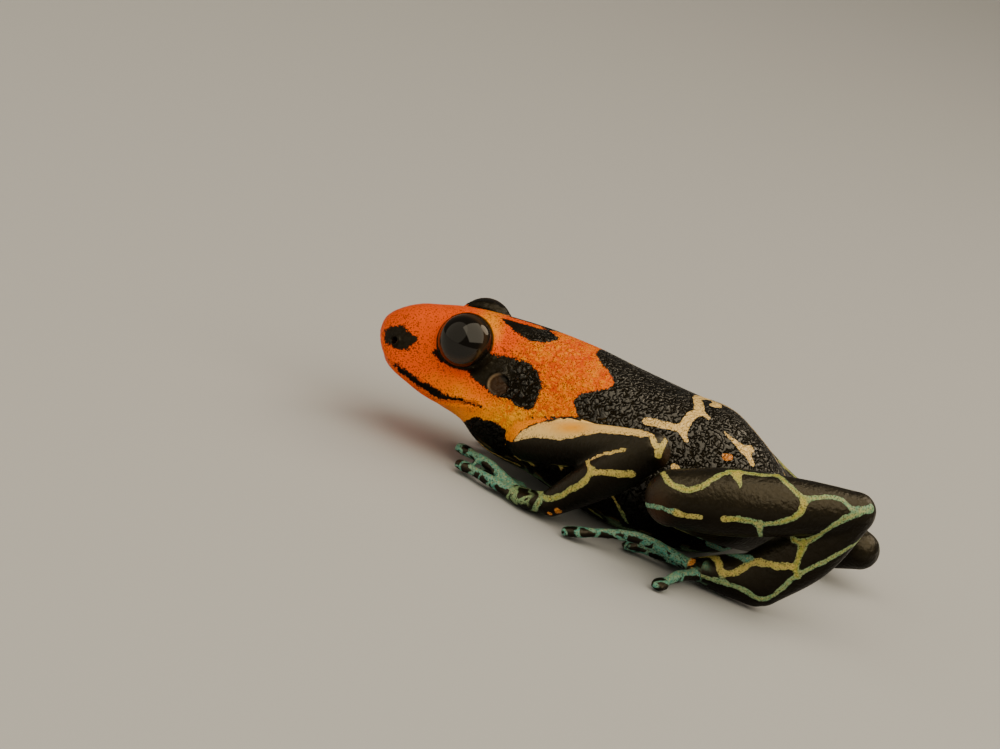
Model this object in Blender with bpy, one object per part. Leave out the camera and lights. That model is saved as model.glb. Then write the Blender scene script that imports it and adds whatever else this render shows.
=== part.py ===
"""A red-headed poison frog at life size, about 21 mm from snout to vent, crouched on a flat floor.

The frog faces -Y, its left side is +X and the floor is z = 0. Its left heel is lifted and its right
heel is down. The body is divided where its parts meet, with a thin gap at each cut.
Sizes below are in millimetres; MM turns them into Blender's metres.
"""

import math

import bmesh
import bpy
from mathutils import Matrix, Vector

MM = 0.001
GAP = 0.25  # between two nodes that touch
EYE_GAP = 0.15
LEFT, RIGHT = 1, -1

# Outlines of head and trunk, each as (place along the body, value).
SNOUT_Y = -18.6
VENT_Y = 3.3
NOSE_LENGTH = 1.8  # over which the snout rounds off
RUMP_LENGTH = 2.4
NOSE_Z = 4.7
VENT_Z = 3.75
BACK_LINE = ((-18.6, 5.75), (-16.7, 6.32), (-15.0, 6.86), (-13.2, 7.05), (-10.6, 7.12), (-6.4, 7.12),
             (-3.3, 7.02), (-1.9, 7.08), (-1.0, 6.9), (0.4, 6.2), (1.9, 5.3), (3.3, 4.7))
BELLY_LINE = ((-18.6, 3.75), (-17.9, 3.28), (-16.7, 2.82), (-15.5, 2.4), (-14.4, 2.18), (-13.2, 1.9), (-12.4, 1.3),
              (-11.4, 0.85), (-9.5, 0.65), (-7.5, 0.25), (-5.6, -0.06), (-1.6, -0.06), (0.4, 0.5),
              (1.9, 1.7), (3.3, 2.7))
WIDTH_LINE = ((-18.6, 2.05), (-17.5, 2.15), (-15.5, 2.6), (-14.2, 2.86), (-12.2, 3.15), (-10.6, 3.15),
              (-9.3, 3.25), (-7.4, 3.65), (-5.4, 3.95), (-3.6, 4.0), (-1.6, 3.65), (0.2, 3.0), (3.3, 1.7))
WIDEST_HEIGHT = ((-18.6, 3.8), (-16.0, 3.5), (-12.0, 3.6), (-10.0, 3.6), (-4.0, 3.2), (0.0, 3.3), (3.3, 3.75))
TOP_TAPER = ((-18.6, 0.28), (-16.0, 0.4), (-14.0, 0.42), (-11.5, 0.26), (-8.0, 0.12), (3.3, 0.1))
TOP_SQUARENESS = ((-18.6, 2.4), (-16.5, 3.1), (-14.0, 3.1), (-12.0, 2.6), (-9.0, 2.3), (3.3, 2.1))
BELLY_SQUARENESS = 2.25
NECK_Y = -10.95
MOUTH_LINE = ((-17.9, 3.5), (-17.0, 3.15), (-16.2, 2.9), (-14.9, 2.72), (-14.2, 2.88), (-13.1, 3.36),
              (-12.6, 3.48))
MOUTH_GAPE = 0.18
MOUTH_DEPTH = 0.3
LIP_THICKNESS = 0.26

# Eyes, nostrils and eardrums on the head's left side.
EYE_CENTRE = (2.0, -14.2, 5.85)
EYE_RADIUS = 1.2
EYE_LOOKS = (0.88, -0.18, 0.42)
LID_PROFILE = ((-1.2, 0.8), (-0.7, 1.24), (-0.2, 1.5), (0.05, 1.54), (0.16, 1.52), (0.22, 1.45), (0.24, 1.2))
NOSTRIL = (1.62, -17.5, 4.5)
NOSTRIL_RADIUS = 0.15
EARDRUM = (3.0, -11.9, 4.75)
EARDRUM_RADIUS = 0.5
EARDRUM_RIM = 0.16

# Joints of the limbs on the left side; the right side mirrors all but its hind leg.
SHOULDER = (2.7, -9.6, 2.75)
ELBOW = {LEFT: (5.65, -3.72, 5.4), RIGHT: (5.45, -3.8, 4.55)}
WRIST = (4.75, -7.35, 0.95)
KNUCKLES = (3.85, -9.2, 0.42)
HIP = (1.6, 2.0, 2.95)
KNEE = {LEFT: (7.35, -1.85, 4.2), RIGHT: (6.8, -1.85, 3.65)}
SHIN = {LEFT: (6.55, 1.9, 5.25), RIGHT: (5.9, 2.0, 2.15)}
HEEL = {LEFT: (5.1, 6.1, 6.25), RIGHT: (3.5, 6.45, 2.1)}
TARSUS_MIDDLE = {LEFT: (5.12, 4.75, 3.68), RIGHT: (3.8, 4.3, 1.7)}
INSTEP = {LEFT: (5.15, 2.95, 1.4), RIGHT: (4.1, 1.9, 1.25)}
TOE_ROOT = {LEFT: (5.0, 0.2, 0.75), RIGHT: (4.6, -0.8, 0.72)}

# Digits as (root, places that it bends through, tip), all measured from the knuckles or the toes' root.
FINGERS = (
    ((-0.35, 0.45, -0.02), (-1.2, -0.1, 0.0), (-1.9, -0.75, -0.14)),
    ((-0.45, 0.1, 0.0), (-1.3, -1.0, 0.08), (-2.2, -2.05, -0.14)),
    ((-0.2, -0.1, 0.1), (-1.05, -1.75, 0.45), (-2.15, -3.55, 0.4)),
    ((0.35, 0.0, 0.0), (-0.05, -1.4, 0.1), (-1.0, -3.15, 0.0)),
)
TOES = (
    ((-0.5, 0.35, -0.2), (-1.05, -0.3, -0.22), (-1.7, -0.85, -0.47)),
    ((-0.5, 0.0, -0.15), (-1.0, -1.1, -0.18), (-1.6, -2.3, -0.46)),
    ((-0.25, -0.1, -0.05), (-0.55, -1.9, -0.2), (-0.7, -3.6, -0.45)),
    ((0.1, -0.2, 0.05), (0.45, -3.1, 0.42), (1.0, -6.35, -0.43)),
    ((0.5, 0.1, -0.1), (1.8, -0.6, -0.15), (3.3, -1.2, -0.45)),
)
DIGIT_THICKNESS = 0.68
DISC_WIDTH = 0.98
DISC_HEIGHT = 0.6

# Widths and heights along each limb piece, as shares of the way and sizes across.
UPPER_ARM = (((0.0, 2.2), (0.5, 2.1), (1.0, 1.8)), ((0.0, 2.0), (0.5, 2.1), (1.0, 1.85)))
FOREARM = (((0.0, 1.8), (0.4, 2.1), (1.0, 1.35)), ((0.0, 1.85), (0.4, 2.15), (1.0, 1.3)))
PALM = (((0.0, 1.35), (0.55, 1.75), (1.0, 1.5)), ((0.0, 1.15), (0.5, 0.95), (1.0, 0.8)))
THIGH = (((0.0, 3.3), (0.5, 3.4), (1.0, 2.4)), ((0.0, 2.8), (0.5, 2.9), (1.0, 2.4)))
SHANK = {
    LEFT: (((0.0, 2.6), (0.4, 3.0), (0.75, 2.5), (1.0, 1.9)), ((0.0, 2.7), (0.35, 3.2), (0.75, 2.6), (1.0, 1.9))),
    RIGHT: (((0.0, 2.6), (0.4, 3.0), (0.75, 2.5), (1.0, 1.9)), ((0.0, 2.6), (0.35, 2.7), (0.75, 2.5), (1.0, 1.9))),
}
TARSUS = (((0.0, 1.7), (0.5, 1.9), (1.0, 1.75)), ((0.0, 1.95), (0.5, 2.75), (1.0, 2.7)))
INSTEP_SIZES = (((0.0, 1.7), (0.6, 1.75), (1.0, 1.5)), ((0.0, 2.6), (0.6, 1.85), (1.0, 1.15)))

HEAD_SIDES = 28
TRUNK_SIDES = 28
LIMB_SIDES = 16
DIGIT_SIDES = 8
CAP_RINGS = 3

COLOURS = {
    "head_skin": ((0.86, 0.2, 0.02), 0.42),
    "body_skin": ((0.02, 0.019, 0.017), 0.35),
    "limb_skin": ((0.06, 0.065, 0.05), 0.35),
    "eye": ((0.008, 0.007, 0.006), 0.08),
    "eardrum": ((0.07, 0.035, 0.02), 0.35),
}


def value_at(line, place):
    """Reads a smooth curve through the points of an outline."""
    if place <= line[0][0]:
        return line[0][1]
    for i in range(len(line) - 1):
        (start, low), (end, high) = line[i], line[i + 1]
        if place <= end:
            before = line[max(i - 1, 0)]
            after = line[min(i + 2, len(line) - 1)]
            span = end - start
            slope_in = (high - before[1]) / (end - before[0])
            slope_out = (after[1] - low) / (after[0] - start)
            t = (place - start) / span
            return ((2 * t**3 - 3 * t**2 + 1) * low + (t**3 - 2 * t**2 + t) * span * slope_in
                    + (3 * t**2 - 2 * t**3) * high + (t**3 - t**2) * span * slope_out)
    return line[-1][1]


def rounding(y):
    """Share of the full section that is left where the snout or the rump rounds off."""
    nose = min(1.0, (y - SNOUT_Y) / NOSE_LENGTH)
    rump = min(1.0, (VENT_Y - y) / RUMP_LENGTH)
    return math.sqrt(max(0.0, 1 - (1 - nose) ** 2)) * math.sqrt(max(0.0, 1 - (1 - rump) ** 2))


def body_point(y, angle):
    """A point of the head's or trunk's surface, with the angle counted from the left side over the back."""
    share = rounding(y)
    middle = NOSE_Z if y < NECK_Y else VENT_Z
    top = middle + (value_at(BACK_LINE, y) - middle) * share
    bottom = middle + (value_at(BELLY_LINE, y) - middle) * share
    widest = middle + (value_at(WIDEST_HEIGHT, y) - middle) * share
    across, up = math.cos(angle), math.sin(angle)
    squareness = value_at(TOP_SQUARENESS, y) if up > 0 else BELLY_SQUARENESS
    x = math.copysign(abs(across) ** (2 / squareness), across) * value_at(WIDTH_LINE, y) * share
    rise = abs(up) ** (2 / squareness)
    if up > 0:
        return Vector((x * (1 - value_at(TOP_TAPER, y) * rise), y, widest + (top - widest) * rise))
    return Vector((x, y, widest - (widest - bottom) * rise))


def body_side(y, z):
    """The left surface point at this place and height."""
    low, high = -math.pi / 2, math.pi / 2
    for _ in range(30):
        middle = (low + high) / 2
        if body_point(y, middle).z < z:
            low = middle
        else:
            high = middle
    return body_point(y, low)


def eased(start, end, count, ease_start, ease_end):
    """Stations from start to end, closer together towards an end that rounds off."""
    places = []
    for i in range(count + 1):
        t = i / count
        if ease_start and ease_end:
            t = (1 - math.cos(math.pi * t)) / 2
        elif ease_start:
            t = 1 - math.cos(math.pi * t / 2)
        elif ease_end:
            t = math.sin(math.pi * t / 2)
        places.append(start + (end - start) * t)
    return places


def new_object(name, mesh):
    mesh.name = name
    obj = bpy.data.objects.new(name, mesh)
    WORK.objects.link(obj)
    return obj


def loft(name, rings):
    """A closed solid through rings of equal point counts, in millimetres, each end closed by a fan."""
    bm = bmesh.new()
    rows = [[bm.verts.new(p * MM) for p in ring] for ring in rings]
    count = len(rings[0])
    for a, b in zip(rows, rows[1:]):
        for i in range(count):
            j = (i + 1) % count
            bm.faces.new((a[i], a[j], b[j], b[i]))
    for row, ring in ((rows[0], rings[0]), (rows[-1], rings[-1])):
        pole = bm.verts.new(sum(ring, Vector()) / count * MM)
        for i in range(count):
            bm.faces.new((row[i], row[(i + 1) % count], pole))
    bmesh.ops.recalc_face_normals(bm, faces=bm.faces)
    mesh = bpy.data.meshes.new(name)
    bm.to_mesh(mesh)
    bm.free()
    return new_object(name, mesh)


def body_piece(name, start, end, count, sides, ease_start=False, ease_end=False):
    rings = []
    for y in eased(start, end, count, ease_start, ease_end):
        rings.append([body_point(y, math.tau * (i + 0.5) / sides) for i in range(sides)])
    return loft(name, rings)


def path_point(joints, t):
    """A point of the smooth curve through the joints, t from 0 to 1."""
    spans = len(joints) - 1
    i = min(int(t * spans), spans - 1)
    t = t * spans - i
    p1, p2 = joints[i], joints[i + 1]
    p0 = joints[i - 1] if i else p1 - (p2 - p1)
    p3 = joints[i + 2] if i + 2 <= spans else p2 + (p2 - p1)
    return ((2 * p1) + (p2 - p0) * t + (2 * p0 - 5 * p1 + 4 * p2 - p3) * t**2
            + (3 * p1 - p0 - 3 * p2 + p3) * t**3) / 2


def limb(name, joints, sizes, rings=7, sides=LIMB_SIDES):
    """A limb piece through its joints, with (widths, heights) along it and both ends rounded off."""
    joints = [Vector(j) for j in joints]
    widths, heights = sizes
    made = []
    for k in range(-CAP_RINGS, rings + CAP_RINGS + 1):
        t = min(max(k / rings, 0.0), 1.0)
        along = (path_point(joints, min(t + 0.01, 1.0)) - path_point(joints, max(t - 0.01, 0.0))).normalized()
        over = max(-k, k - rings, 0) / (CAP_RINGS + 0.6)
        end = -1 if k < 0 else 1
        radius = min(value_at(widths, t), value_at(heights, t)) / 2
        centre = path_point(joints, t) + along * (end * radius * math.sin(over * math.pi / 2) if over else 0.0)
        share = math.cos(over * math.pi / 2)
        side = along.cross(Vector((0, 0, 1))).normalized()
        rise = side.cross(along)
        ring = []
        for i in range(sides):
            angle = math.tau * (i + 0.5) / sides
            ring.append(centre + side * (math.cos(angle) * value_at(widths, t) / 2 * share)
                        + rise * (math.sin(angle) * value_at(heights, t) / 2 * share))
        made.append(ring)
    return loft(name, made)


def digit(name, root, places):
    """A finger or toe that ends in a broad flat disc."""
    joints = [Vector(root) + Vector(p) for p in places]
    widths = ((0.0, DIGIT_THICKNESS * 1.25), (0.65, DIGIT_THICKNESS), (0.8, DIGIT_THICKNESS * 0.92),
              (0.9, DISC_WIDTH), (1.0, DISC_WIDTH * 0.9))
    heights = ((0.0, DIGIT_THICKNESS * 1.1), (0.65, DIGIT_THICKNESS), (0.8, DIGIT_THICKNESS * 0.9),
               (0.9, DISC_HEIGHT), (1.0, DISC_HEIGHT * 0.9))
    return limb(name, joints, (widths, heights), rings=8, sides=DIGIT_SIDES)


def baked(obj):
    """Applies the object's modifiers, keeps its largest closed surface and gives the object back."""
    bpy.context.view_layer.update()
    mesh = bpy.data.meshes.new_from_object(obj.evaluated_get(bpy.context.evaluated_depsgraph_get()))
    obj.modifiers.clear()
    obj.data = mesh
    bm = bmesh.new()
    bm.from_mesh(mesh)
    bmesh.ops.remove_doubles(bm, verts=bm.verts, dist=1e-7)
    left = set(bm.faces)
    shells = []
    while left:
        shell, edge_of_shell = set(), [left.pop()]
        while edge_of_shell:
            face = edge_of_shell.pop()
            shell.add(face)
            for edge in face.edges:
                for other in edge.link_faces:
                    if other in left:
                        left.remove(other)
                        edge_of_shell.append(other)
        shells.append(shell)
    largest = max(shells, key=lambda shell: sum(face.calc_area() for face in shell))
    bmesh.ops.delete(bm, geom=[f for f in bm.faces if f not in largest], context="FACES")
    bmesh.ops.triangulate(bm, faces=bm.faces)
    bm.to_mesh(mesh)
    bm.free()
    return obj


def fused(obj, pieces, solver="EXACT"):
    """Joins closed pieces to a node's main piece with one Boolean union."""
    group = bpy.data.collections.new(obj.name + "_pieces")
    for piece in pieces:
        group.objects.link(piece)
    join = obj.modifiers.new("join", "BOOLEAN")
    join.operation = "UNION"
    join.operand_type = "COLLECTION"
    join.solver = solver
    join.collection = group
    baked(obj)
    for piece in pieces:
        bpy.data.objects.remove(piece)
    bpy.data.collections.remove(group)
    return obj


def grown(obj, by=GAP):
    """A cutter: a copy of the object with its surface moved out."""
    cutter = obj.copy()
    cutter.data = obj.data.copy()
    CUTTERS.objects.link(cutter)
    for vertex, normal in zip(cutter.data.vertices, [v.normal.copy() for v in obj.data.vertices]):
        vertex.co += normal * (by * MM)
    return cutter


def cut(obj, *cutters, solver="EXACT"):
    """Takes each cutter away from the object in turn, then removes the cutters."""
    for cutter in cutters:
        away = obj.modifiers.new("cut", "BOOLEAN")
        away.operation = "DIFFERENCE"
        away.solver = solver
        away.object = cutter
        baked(obj)
        bpy.data.objects.remove(cutter)
    return obj


def floor_block():
    """A cutter that leaves small flats at the level of the floor."""
    bpy.ops.mesh.primitive_cube_add(size=60 * MM, location=(0, 0, -30 * MM))
    block = bpy.context.object
    bpy.ops.object.transform_apply(location=True, rotation=True, scale=True)
    return block


def mirrored(place, side):
    return Vector((place[0] * side, place[1], place[2]))


def paint(obj, finish):
    colour, roughness = COLOURS[finish]
    material = bpy.data.materials.get(finish)
    if material is None:
        material = bpy.data.materials.new(finish)
        material.use_nodes = True
        shader = material.node_tree.nodes["Principled BSDF"]
        shader.inputs["Base Color"].default_value = (*colour, 1.0)
        shader.inputs["Roughness"].default_value = roughness
        shader.inputs["Metallic"].default_value = 0.0
    obj.data.materials.clear()
    obj.data.materials.append(material)
    for polygon in obj.data.polygons:
        polygon.material_index = 0


def keep(obj, name, finish):
    """Names a finished node and moves it to the frog's collection."""
    obj.name = name
    obj.data.name = name
    paint(obj, finish)
    obj.data.shade_smooth()
    obj.data.set_sharp_from_angle(angle=math.radians(35))
    for collection in list(obj.users_collection):
        collection.objects.unlink(obj)
    FROG.objects.link(obj)
    return obj


def eyeball(side, radius=EYE_RADIUS):
    centre = mirrored(EYE_CENTRE, side)
    bpy.ops.mesh.primitive_uv_sphere_add(segments=20, ring_count=12, radius=radius * MM, location=centre * MM)
    ball = bpy.context.object
    bpy.ops.object.transform_apply(location=True, rotation=True, scale=True)
    return ball


def ring_at(centre, looks, radius, thickness, segments=28):
    """A round rim about a direction, such as an eyelid's."""
    turn = Vector(looks).to_track_quat("Z", "Y")
    bpy.ops.mesh.primitive_torus_add(major_radius=radius * MM, minor_radius=thickness / 2 * MM,
                                     major_segments=segments, minor_segments=8,
                                     location=Vector(centre) * MM, rotation=turn.to_euler())
    rim = bpy.context.object
    bpy.ops.object.transform_apply(location=True, rotation=True, scale=True)
    return rim


def eyelid(side, segments=20):
    """The fold of skin round the eye: a solid turned about the way the eye looks, open once the eye is cut out."""
    looks = mirrored(EYE_LOOKS, side).normalized()
    across = looks.cross(Vector((0, 0, 1))).normalized()
    rise = across.cross(looks)
    rings = []
    for along, radius in LID_PROFILE:
        centre = mirrored(EYE_CENTRE, side) + looks * along
        rings.append([centre + (across * math.cos(math.tau * i / segments)
                                + rise * math.sin(math.tau * i / segments)) * radius for i in range(segments)])
    return loft("eyelid", rings)


def pebble(centre, looks, sizes, segments=20, rings=10):
    """A flattened ball whose short way looks along a direction."""
    bpy.ops.mesh.primitive_uv_sphere_add(segments=segments, ring_count=rings, radius=MM)
    ball = bpy.context.object
    turn = Vector(looks).to_track_quat("Z", "Y").to_matrix().to_4x4()
    ball.data.transform(Matrix.Translation(Vector(centre) * MM) @ turn @ Matrix.Diagonal((*sizes, 1.0)))
    return ball


def mouth_path():
    """The line where the lips meet, from the left corner round the snout to the right corner."""
    front = SNOUT_Y
    while body_point(front, -math.pi / 2).z > MOUTH_LINE[0][1]:
        front += 0.01
    left = []
    for y in eased(MOUTH_LINE[-1][0], front, 14, False, True)[:-1]:
        left.append(body_side(y, value_at(MOUTH_LINE, y)))
    return left + [Vector((0.0, front, MOUTH_LINE[0][1]))] + [mirrored(p, RIGHT) for p in reversed(left)]


def mouth_slit():
    """A cutter for the groove between the lips."""
    path = mouth_path()
    rings = []
    for i, point in enumerate(path):
        along = (path[min(i + 1, len(path) - 1)] - path[max(i - 1, 0)]).normalized()
        out = along.cross(Vector((0, 0, 1))).normalized() * -1
        if out.dot(point - Vector((0, -13.0, point.z))) < 0:
            out.negate()
        rise = Vector((0, 0, MOUTH_GAPE / 2))
        outer, inner = point + out * MOUTH_DEPTH, point - out * MOUTH_DEPTH
        rings.append([outer + rise, outer - rise, inner - rise, inner + rise])
    return loft("mouth_slit", rings)


def upper_lip():
    """A low ridge along the upper jaw, just over the mouth."""
    path = [p + Vector((0, 0, LIP_THICKNESS * 0.7)) for p in mouth_path()]
    inward = [p - (p - Vector((0, -13.0, p.z))).normalized() * 0.06 for p in path]
    thickness = ((0.0, LIP_THICKNESS * 0.4), (0.12, LIP_THICKNESS), (0.88, LIP_THICKNESS), (1.0, LIP_THICKNESS * 0.4))
    return limb("lip", inward, (thickness, thickness), rings=len(path) - 1, sides=6)


def make_head():
    head = body_piece("head_body", SNOUT_Y + 0.02, NECK_Y, 20, HEAD_SIDES, ease_start=True)
    rims, cutters = [upper_lip()], [mouth_slit()]
    for side in (LEFT, RIGHT):
        rims.append(eyelid(side))
        cutters.append(eyeball(side, EYE_RADIUS + EYE_GAP))
        nostril = mirrored(NOSTRIL, side)
        nose_side = mirrored((0.75, -0.6, 0.2), side).normalized()
        rims.append(pebble(nostril - nose_side * 0.08, nose_side, (0.33, 0.33, 0.18), 14, 8))
        cutters.append(pebble(nostril + nose_side * 0.2, nose_side, (NOSTRIL_RADIUS, NOSTRIL_RADIUS, 0.5), 12, 8))
        ear = body_side(EARDRUM[1], EARDRUM[2])
        out = Vector((1.0, 0.1, 0.25)).normalized()
        rims.append(ring_at(mirrored(ear - out * 0.05, side), mirrored(out, side),
                            EARDRUM_RADIUS + GAP + EARDRUM_RIM * 0.6, EARDRUM_RIM * 1.6, 24))
        drum = pebble(mirrored(ear - out * 0.12, side), mirrored(out, side), (EARDRUM_RADIUS, EARDRUM_RADIUS, 0.24), 18, 8)
        cutters.append(grown(drum))
        keep(drum, side_name(side) + "eardrum", "eardrum")
        keep(eyeball(side), side_name(side) + "eye", "eye")
    fused(head, rims, solver="MANIFOLD")
    cut(head, *cutters, solver="MANIFOLD")
    return keep(head, "head", "head_skin")


def make_torso():
    torso = body_piece("torso", NECK_Y + GAP, VENT_Y - 0.02, 18, TRUNK_SIDES, ease_end=True)
    return torso


def side_name(side):
    return "left_" if side == LEFT else "right_"


def make_arm(side, body):
    """Upper arm, forearm, and hand with its four fingers."""
    name = side_name(side)
    shoulder, wrist, knuckles = (mirrored(p, side) for p in (SHOULDER, WRIST, KNUCKLES))
    elbow = mirrored(ELBOW[side], side)
    upper = limb(name + "upper_arm", (shoulder, elbow), UPPER_ARM)
    lower = limb(name + "forearm", (elbow, wrist), FOREARM)
    hand = limb(name + "hand", (wrist, (wrist + knuckles) / 2 + Vector((0, 0, -0.12)), knuckles), PALM)
    wrist_cutter = grown(lower)
    cut(upper, grown(lower), grown(body))
    fingers = []
    for i, places in enumerate(FINGERS):
        fingers.append(digit(f"finger_{i}", knuckles, [mirrored(p, side) for p in places]))
    fused(hand, fingers)
    cut(hand, wrist_cutter, floor_block())
    cut(lower, grown(body))
    keep(upper, name + "upper_arm", "limb_skin")
    keep(lower, name + "forearm", "limb_skin")
    keep(hand, name + "hand", "limb_skin")


def make_leg(side, body):
    """Thigh, shank, tarsus, and foot with its five toes."""
    name = side_name(side)
    hip = mirrored(HIP, side)
    knee, shin, heel, instep, toe_root = (mirrored(p[side], side) for p in (KNEE, SHIN, HEEL, INSTEP, TOE_ROOT))
    thigh = limb(name + "thigh", (hip, knee + Vector((-0.15 * side, 0.1, -0.1))), THIGH)
    shank = limb(name + "shank", (knee, shin, heel), SHANK[side], rings=10)
    tarsus = limb(name + "tarsus", (heel, mirrored(TARSUS_MIDDLE[side], side), instep), TARSUS)
    foot = limb(name + "foot", (instep, toe_root), INSTEP_SIZES)
    tarsus_cutter = grown(tarsus)
    cut(tarsus, grown(shank))
    cut(thigh, grown(shank), grown(body), grown(tarsus), grown(foot))
    toes = []
    for i, places in enumerate(TOES):
        toes.append(digit(f"toe_{i}", toe_root, [mirrored(p, side) for p in places]))
    fused(foot, toes)
    cut(foot, tarsus_cutter, grown(shank), floor_block())
    cut(tarsus, floor_block())
    keep(thigh, name + "thigh", "limb_skin")
    keep(shank, name + "shank", "limb_skin")
    keep(tarsus, name + "tarsus", "limb_skin")
    keep(foot, name + "foot", "limb_skin")


def centre_on_origin():
    """Puts the middle of the frog's own box over the origin, with its feet on the floor."""
    corners = [v.co for obj in FROG.objects for v in obj.data.vertices]
    middle = [(min(c[i] for c in corners) + max(c[i] for c in corners)) / 2 for i in (0, 1)]
    for obj in FROG.objects:
        obj.data.transform(Matrix.Translation((-middle[0], -middle[1], 0.0)))


def new_collection(name, hidden=False):
    collection = bpy.data.collections.new(name)
    bpy.context.scene.collection.children.link(collection)
    collection.hide_render = hidden
    return collection


for old in list(bpy.data.objects):
    bpy.data.objects.remove(old)
FROG = new_collection("red_headed_poison_frog")
CUTTERS = new_collection("cutters", hidden=True)
WORK = new_collection("work", hidden=True)

make_head()
whole = body_piece("whole_body", SNOUT_Y + 0.02, VENT_Y - 0.02, 34, TRUNK_SIDES, True, True)
trunk = make_torso()
for which_side in (LEFT, RIGHT):
    make_arm(which_side, whole)
    make_leg(which_side, whole)
cut(trunk, floor_block())
keep(trunk, "torso", "body_skin")
bpy.data.objects.remove(whole)
centre_on_origin()
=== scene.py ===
"""A life-size red-headed poison frog: one glossy skin over the whole body, two dark eyes, a pale floor.

The forms repeat the sizes of the CAD part, at a finer grain, and are fused into one skin. Sizes are in
millimetres in the frog's own frame: the frog faces -Y, its left side is +X and the floor is z = 0.
The pattern is traced as places in the photograph and laid on the skin from the photo's camera.
"""

import math

import bmesh
import bpy
import numpy as np
from mathutils import Matrix, Vector
from mathutils.kdtree import KDTree


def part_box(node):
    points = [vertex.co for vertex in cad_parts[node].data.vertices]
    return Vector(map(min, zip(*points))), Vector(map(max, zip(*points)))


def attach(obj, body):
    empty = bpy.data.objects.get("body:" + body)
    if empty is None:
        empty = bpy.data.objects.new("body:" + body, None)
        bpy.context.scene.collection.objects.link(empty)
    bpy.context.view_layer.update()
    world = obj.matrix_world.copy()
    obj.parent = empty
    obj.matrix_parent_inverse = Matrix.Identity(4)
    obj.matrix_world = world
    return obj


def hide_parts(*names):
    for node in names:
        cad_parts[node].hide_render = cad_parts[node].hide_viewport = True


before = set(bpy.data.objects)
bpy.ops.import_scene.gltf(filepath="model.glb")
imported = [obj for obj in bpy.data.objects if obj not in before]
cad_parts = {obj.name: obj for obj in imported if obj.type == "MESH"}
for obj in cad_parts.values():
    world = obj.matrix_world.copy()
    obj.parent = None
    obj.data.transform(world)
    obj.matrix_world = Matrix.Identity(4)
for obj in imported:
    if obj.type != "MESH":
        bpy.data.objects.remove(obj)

bl_info = {
    "name": "Red-headed Poison Frog",
    "version": (1, 0, 0),
    "blender": (4, 5, 0),
    "location": "View3D > Sidebar > Frog",
    "description": "Builds the frog's skin and eyes, a plain floor, soft lights and the camera",
    "category": "Object",
}

MM = 0.001
LEFT, RIGHT = 1, -1
UP = np.array([0.0, 0.0, 1.0])
TINY = 1e-12

# Outlines of head and trunk, each as (place along the body, value).
SNOUT_Y = -18.6
VENT_Y = 3.3
NOSE_LENGTH = 1.8
RUMP_LENGTH = 2.4
NOSE_Z = 4.7
VENT_Z = 3.75
BACK_LINE = ((SNOUT_Y, 5.75), (-16.7, 6.32), (-15.0, 6.86), (-13.2, 7.15), (-10.6, 7.38), (-8.4, 7.36),
             (-6.4, 7.18), (-3.3, 7.02), (-1.9, 7.08), (-1.0, 6.9), (0.4, 6.2), (1.9, 5.3), (VENT_Y, 4.7))
BELLY_LINE = ((SNOUT_Y, 3.75), (-17.9, 3.28), (-16.7, 2.82), (-15.5, 2.4), (-14.4, 2.18), (-13.2, 1.9),
              (-12.4, 1.3), (-11.4, 0.85), (-9.5, 0.65), (-7.5, 0.25), (-5.6, -0.06), (-1.6, -0.06),
              (0.4, 0.5), (1.9, 1.7), (VENT_Y, 2.7))
WIDTH_LINE = ((SNOUT_Y, 2.05), (-17.5, 2.15), (-15.5, 2.6), (-14.2, 2.86), (-12.2, 3.15), (-10.6, 3.15),
              (-9.3, 3.25), (-7.4, 3.65), (-5.4, 3.95), (-3.6, 4.0), (-1.6, 3.65), (0.2, 3.0), (VENT_Y, 1.7))
WIDEST_HEIGHT = ((SNOUT_Y, 3.8), (-16.0, 3.5), (-12.0, 3.6), (-10.0, 3.6), (-4.0, 3.2), (0.0, 3.3),
                 (VENT_Y, 3.75))
TOP_TAPER = ((SNOUT_Y, 0.28), (-16.0, 0.4), (-14.0, 0.42), (-11.5, 0.26), (-8.0, 0.12), (VENT_Y, 0.1))
TOP_SQUARENESS = ((SNOUT_Y, 2.4), (-16.5, 3.1), (-14.0, 3.1), (-12.0, 2.6), (-9.0, 2.3), (VENT_Y, 2.1))
BELLY_SQUARENESS = 2.25
BODY_RINGS = 261
NECK_Y = -10.95
MOUTH_LINE = ((-17.9, 3.5), (-17.0, 3.15), (-16.2, 2.9), (-14.9, 2.72), (-14.2, 2.88), (-13.1, 3.36),
              (-12.6, 3.48))

EYE_CENTRE = (2.0, -14.2, 5.85)
EYE_LOOKS = (0.88, -0.18, 0.42)
LID_PROFILE = ((-1.2, 0.8), (-0.7, 1.24), (-0.3, 1.4), (-0.05, 1.48), (0.1, 1.48), (0.2, 1.43), (0.24, 1.35),
               (0.24, 1.15))
# The lid's edge is a ring of this radius, this far out from the eye's middle. The right eye's lid is black
# about its top.
LID_RADIUS = 1.25
LID_RISE = 0.2
LID_TOP = (1.8, -14.25, 6.95)
LID_TOP_RADIUS = 1.15
NOSTRIL = (1.62, -17.5, 4.5)
EARDRUM = (3.0, -11.9, 4.75)
EARDRUM_RADIUS = 0.5
# How near to mouth, lids, nostrils and eardrums the skin's faces are split, once and again.
FEATURE_REACHES = (0.55, 0.28)

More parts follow.
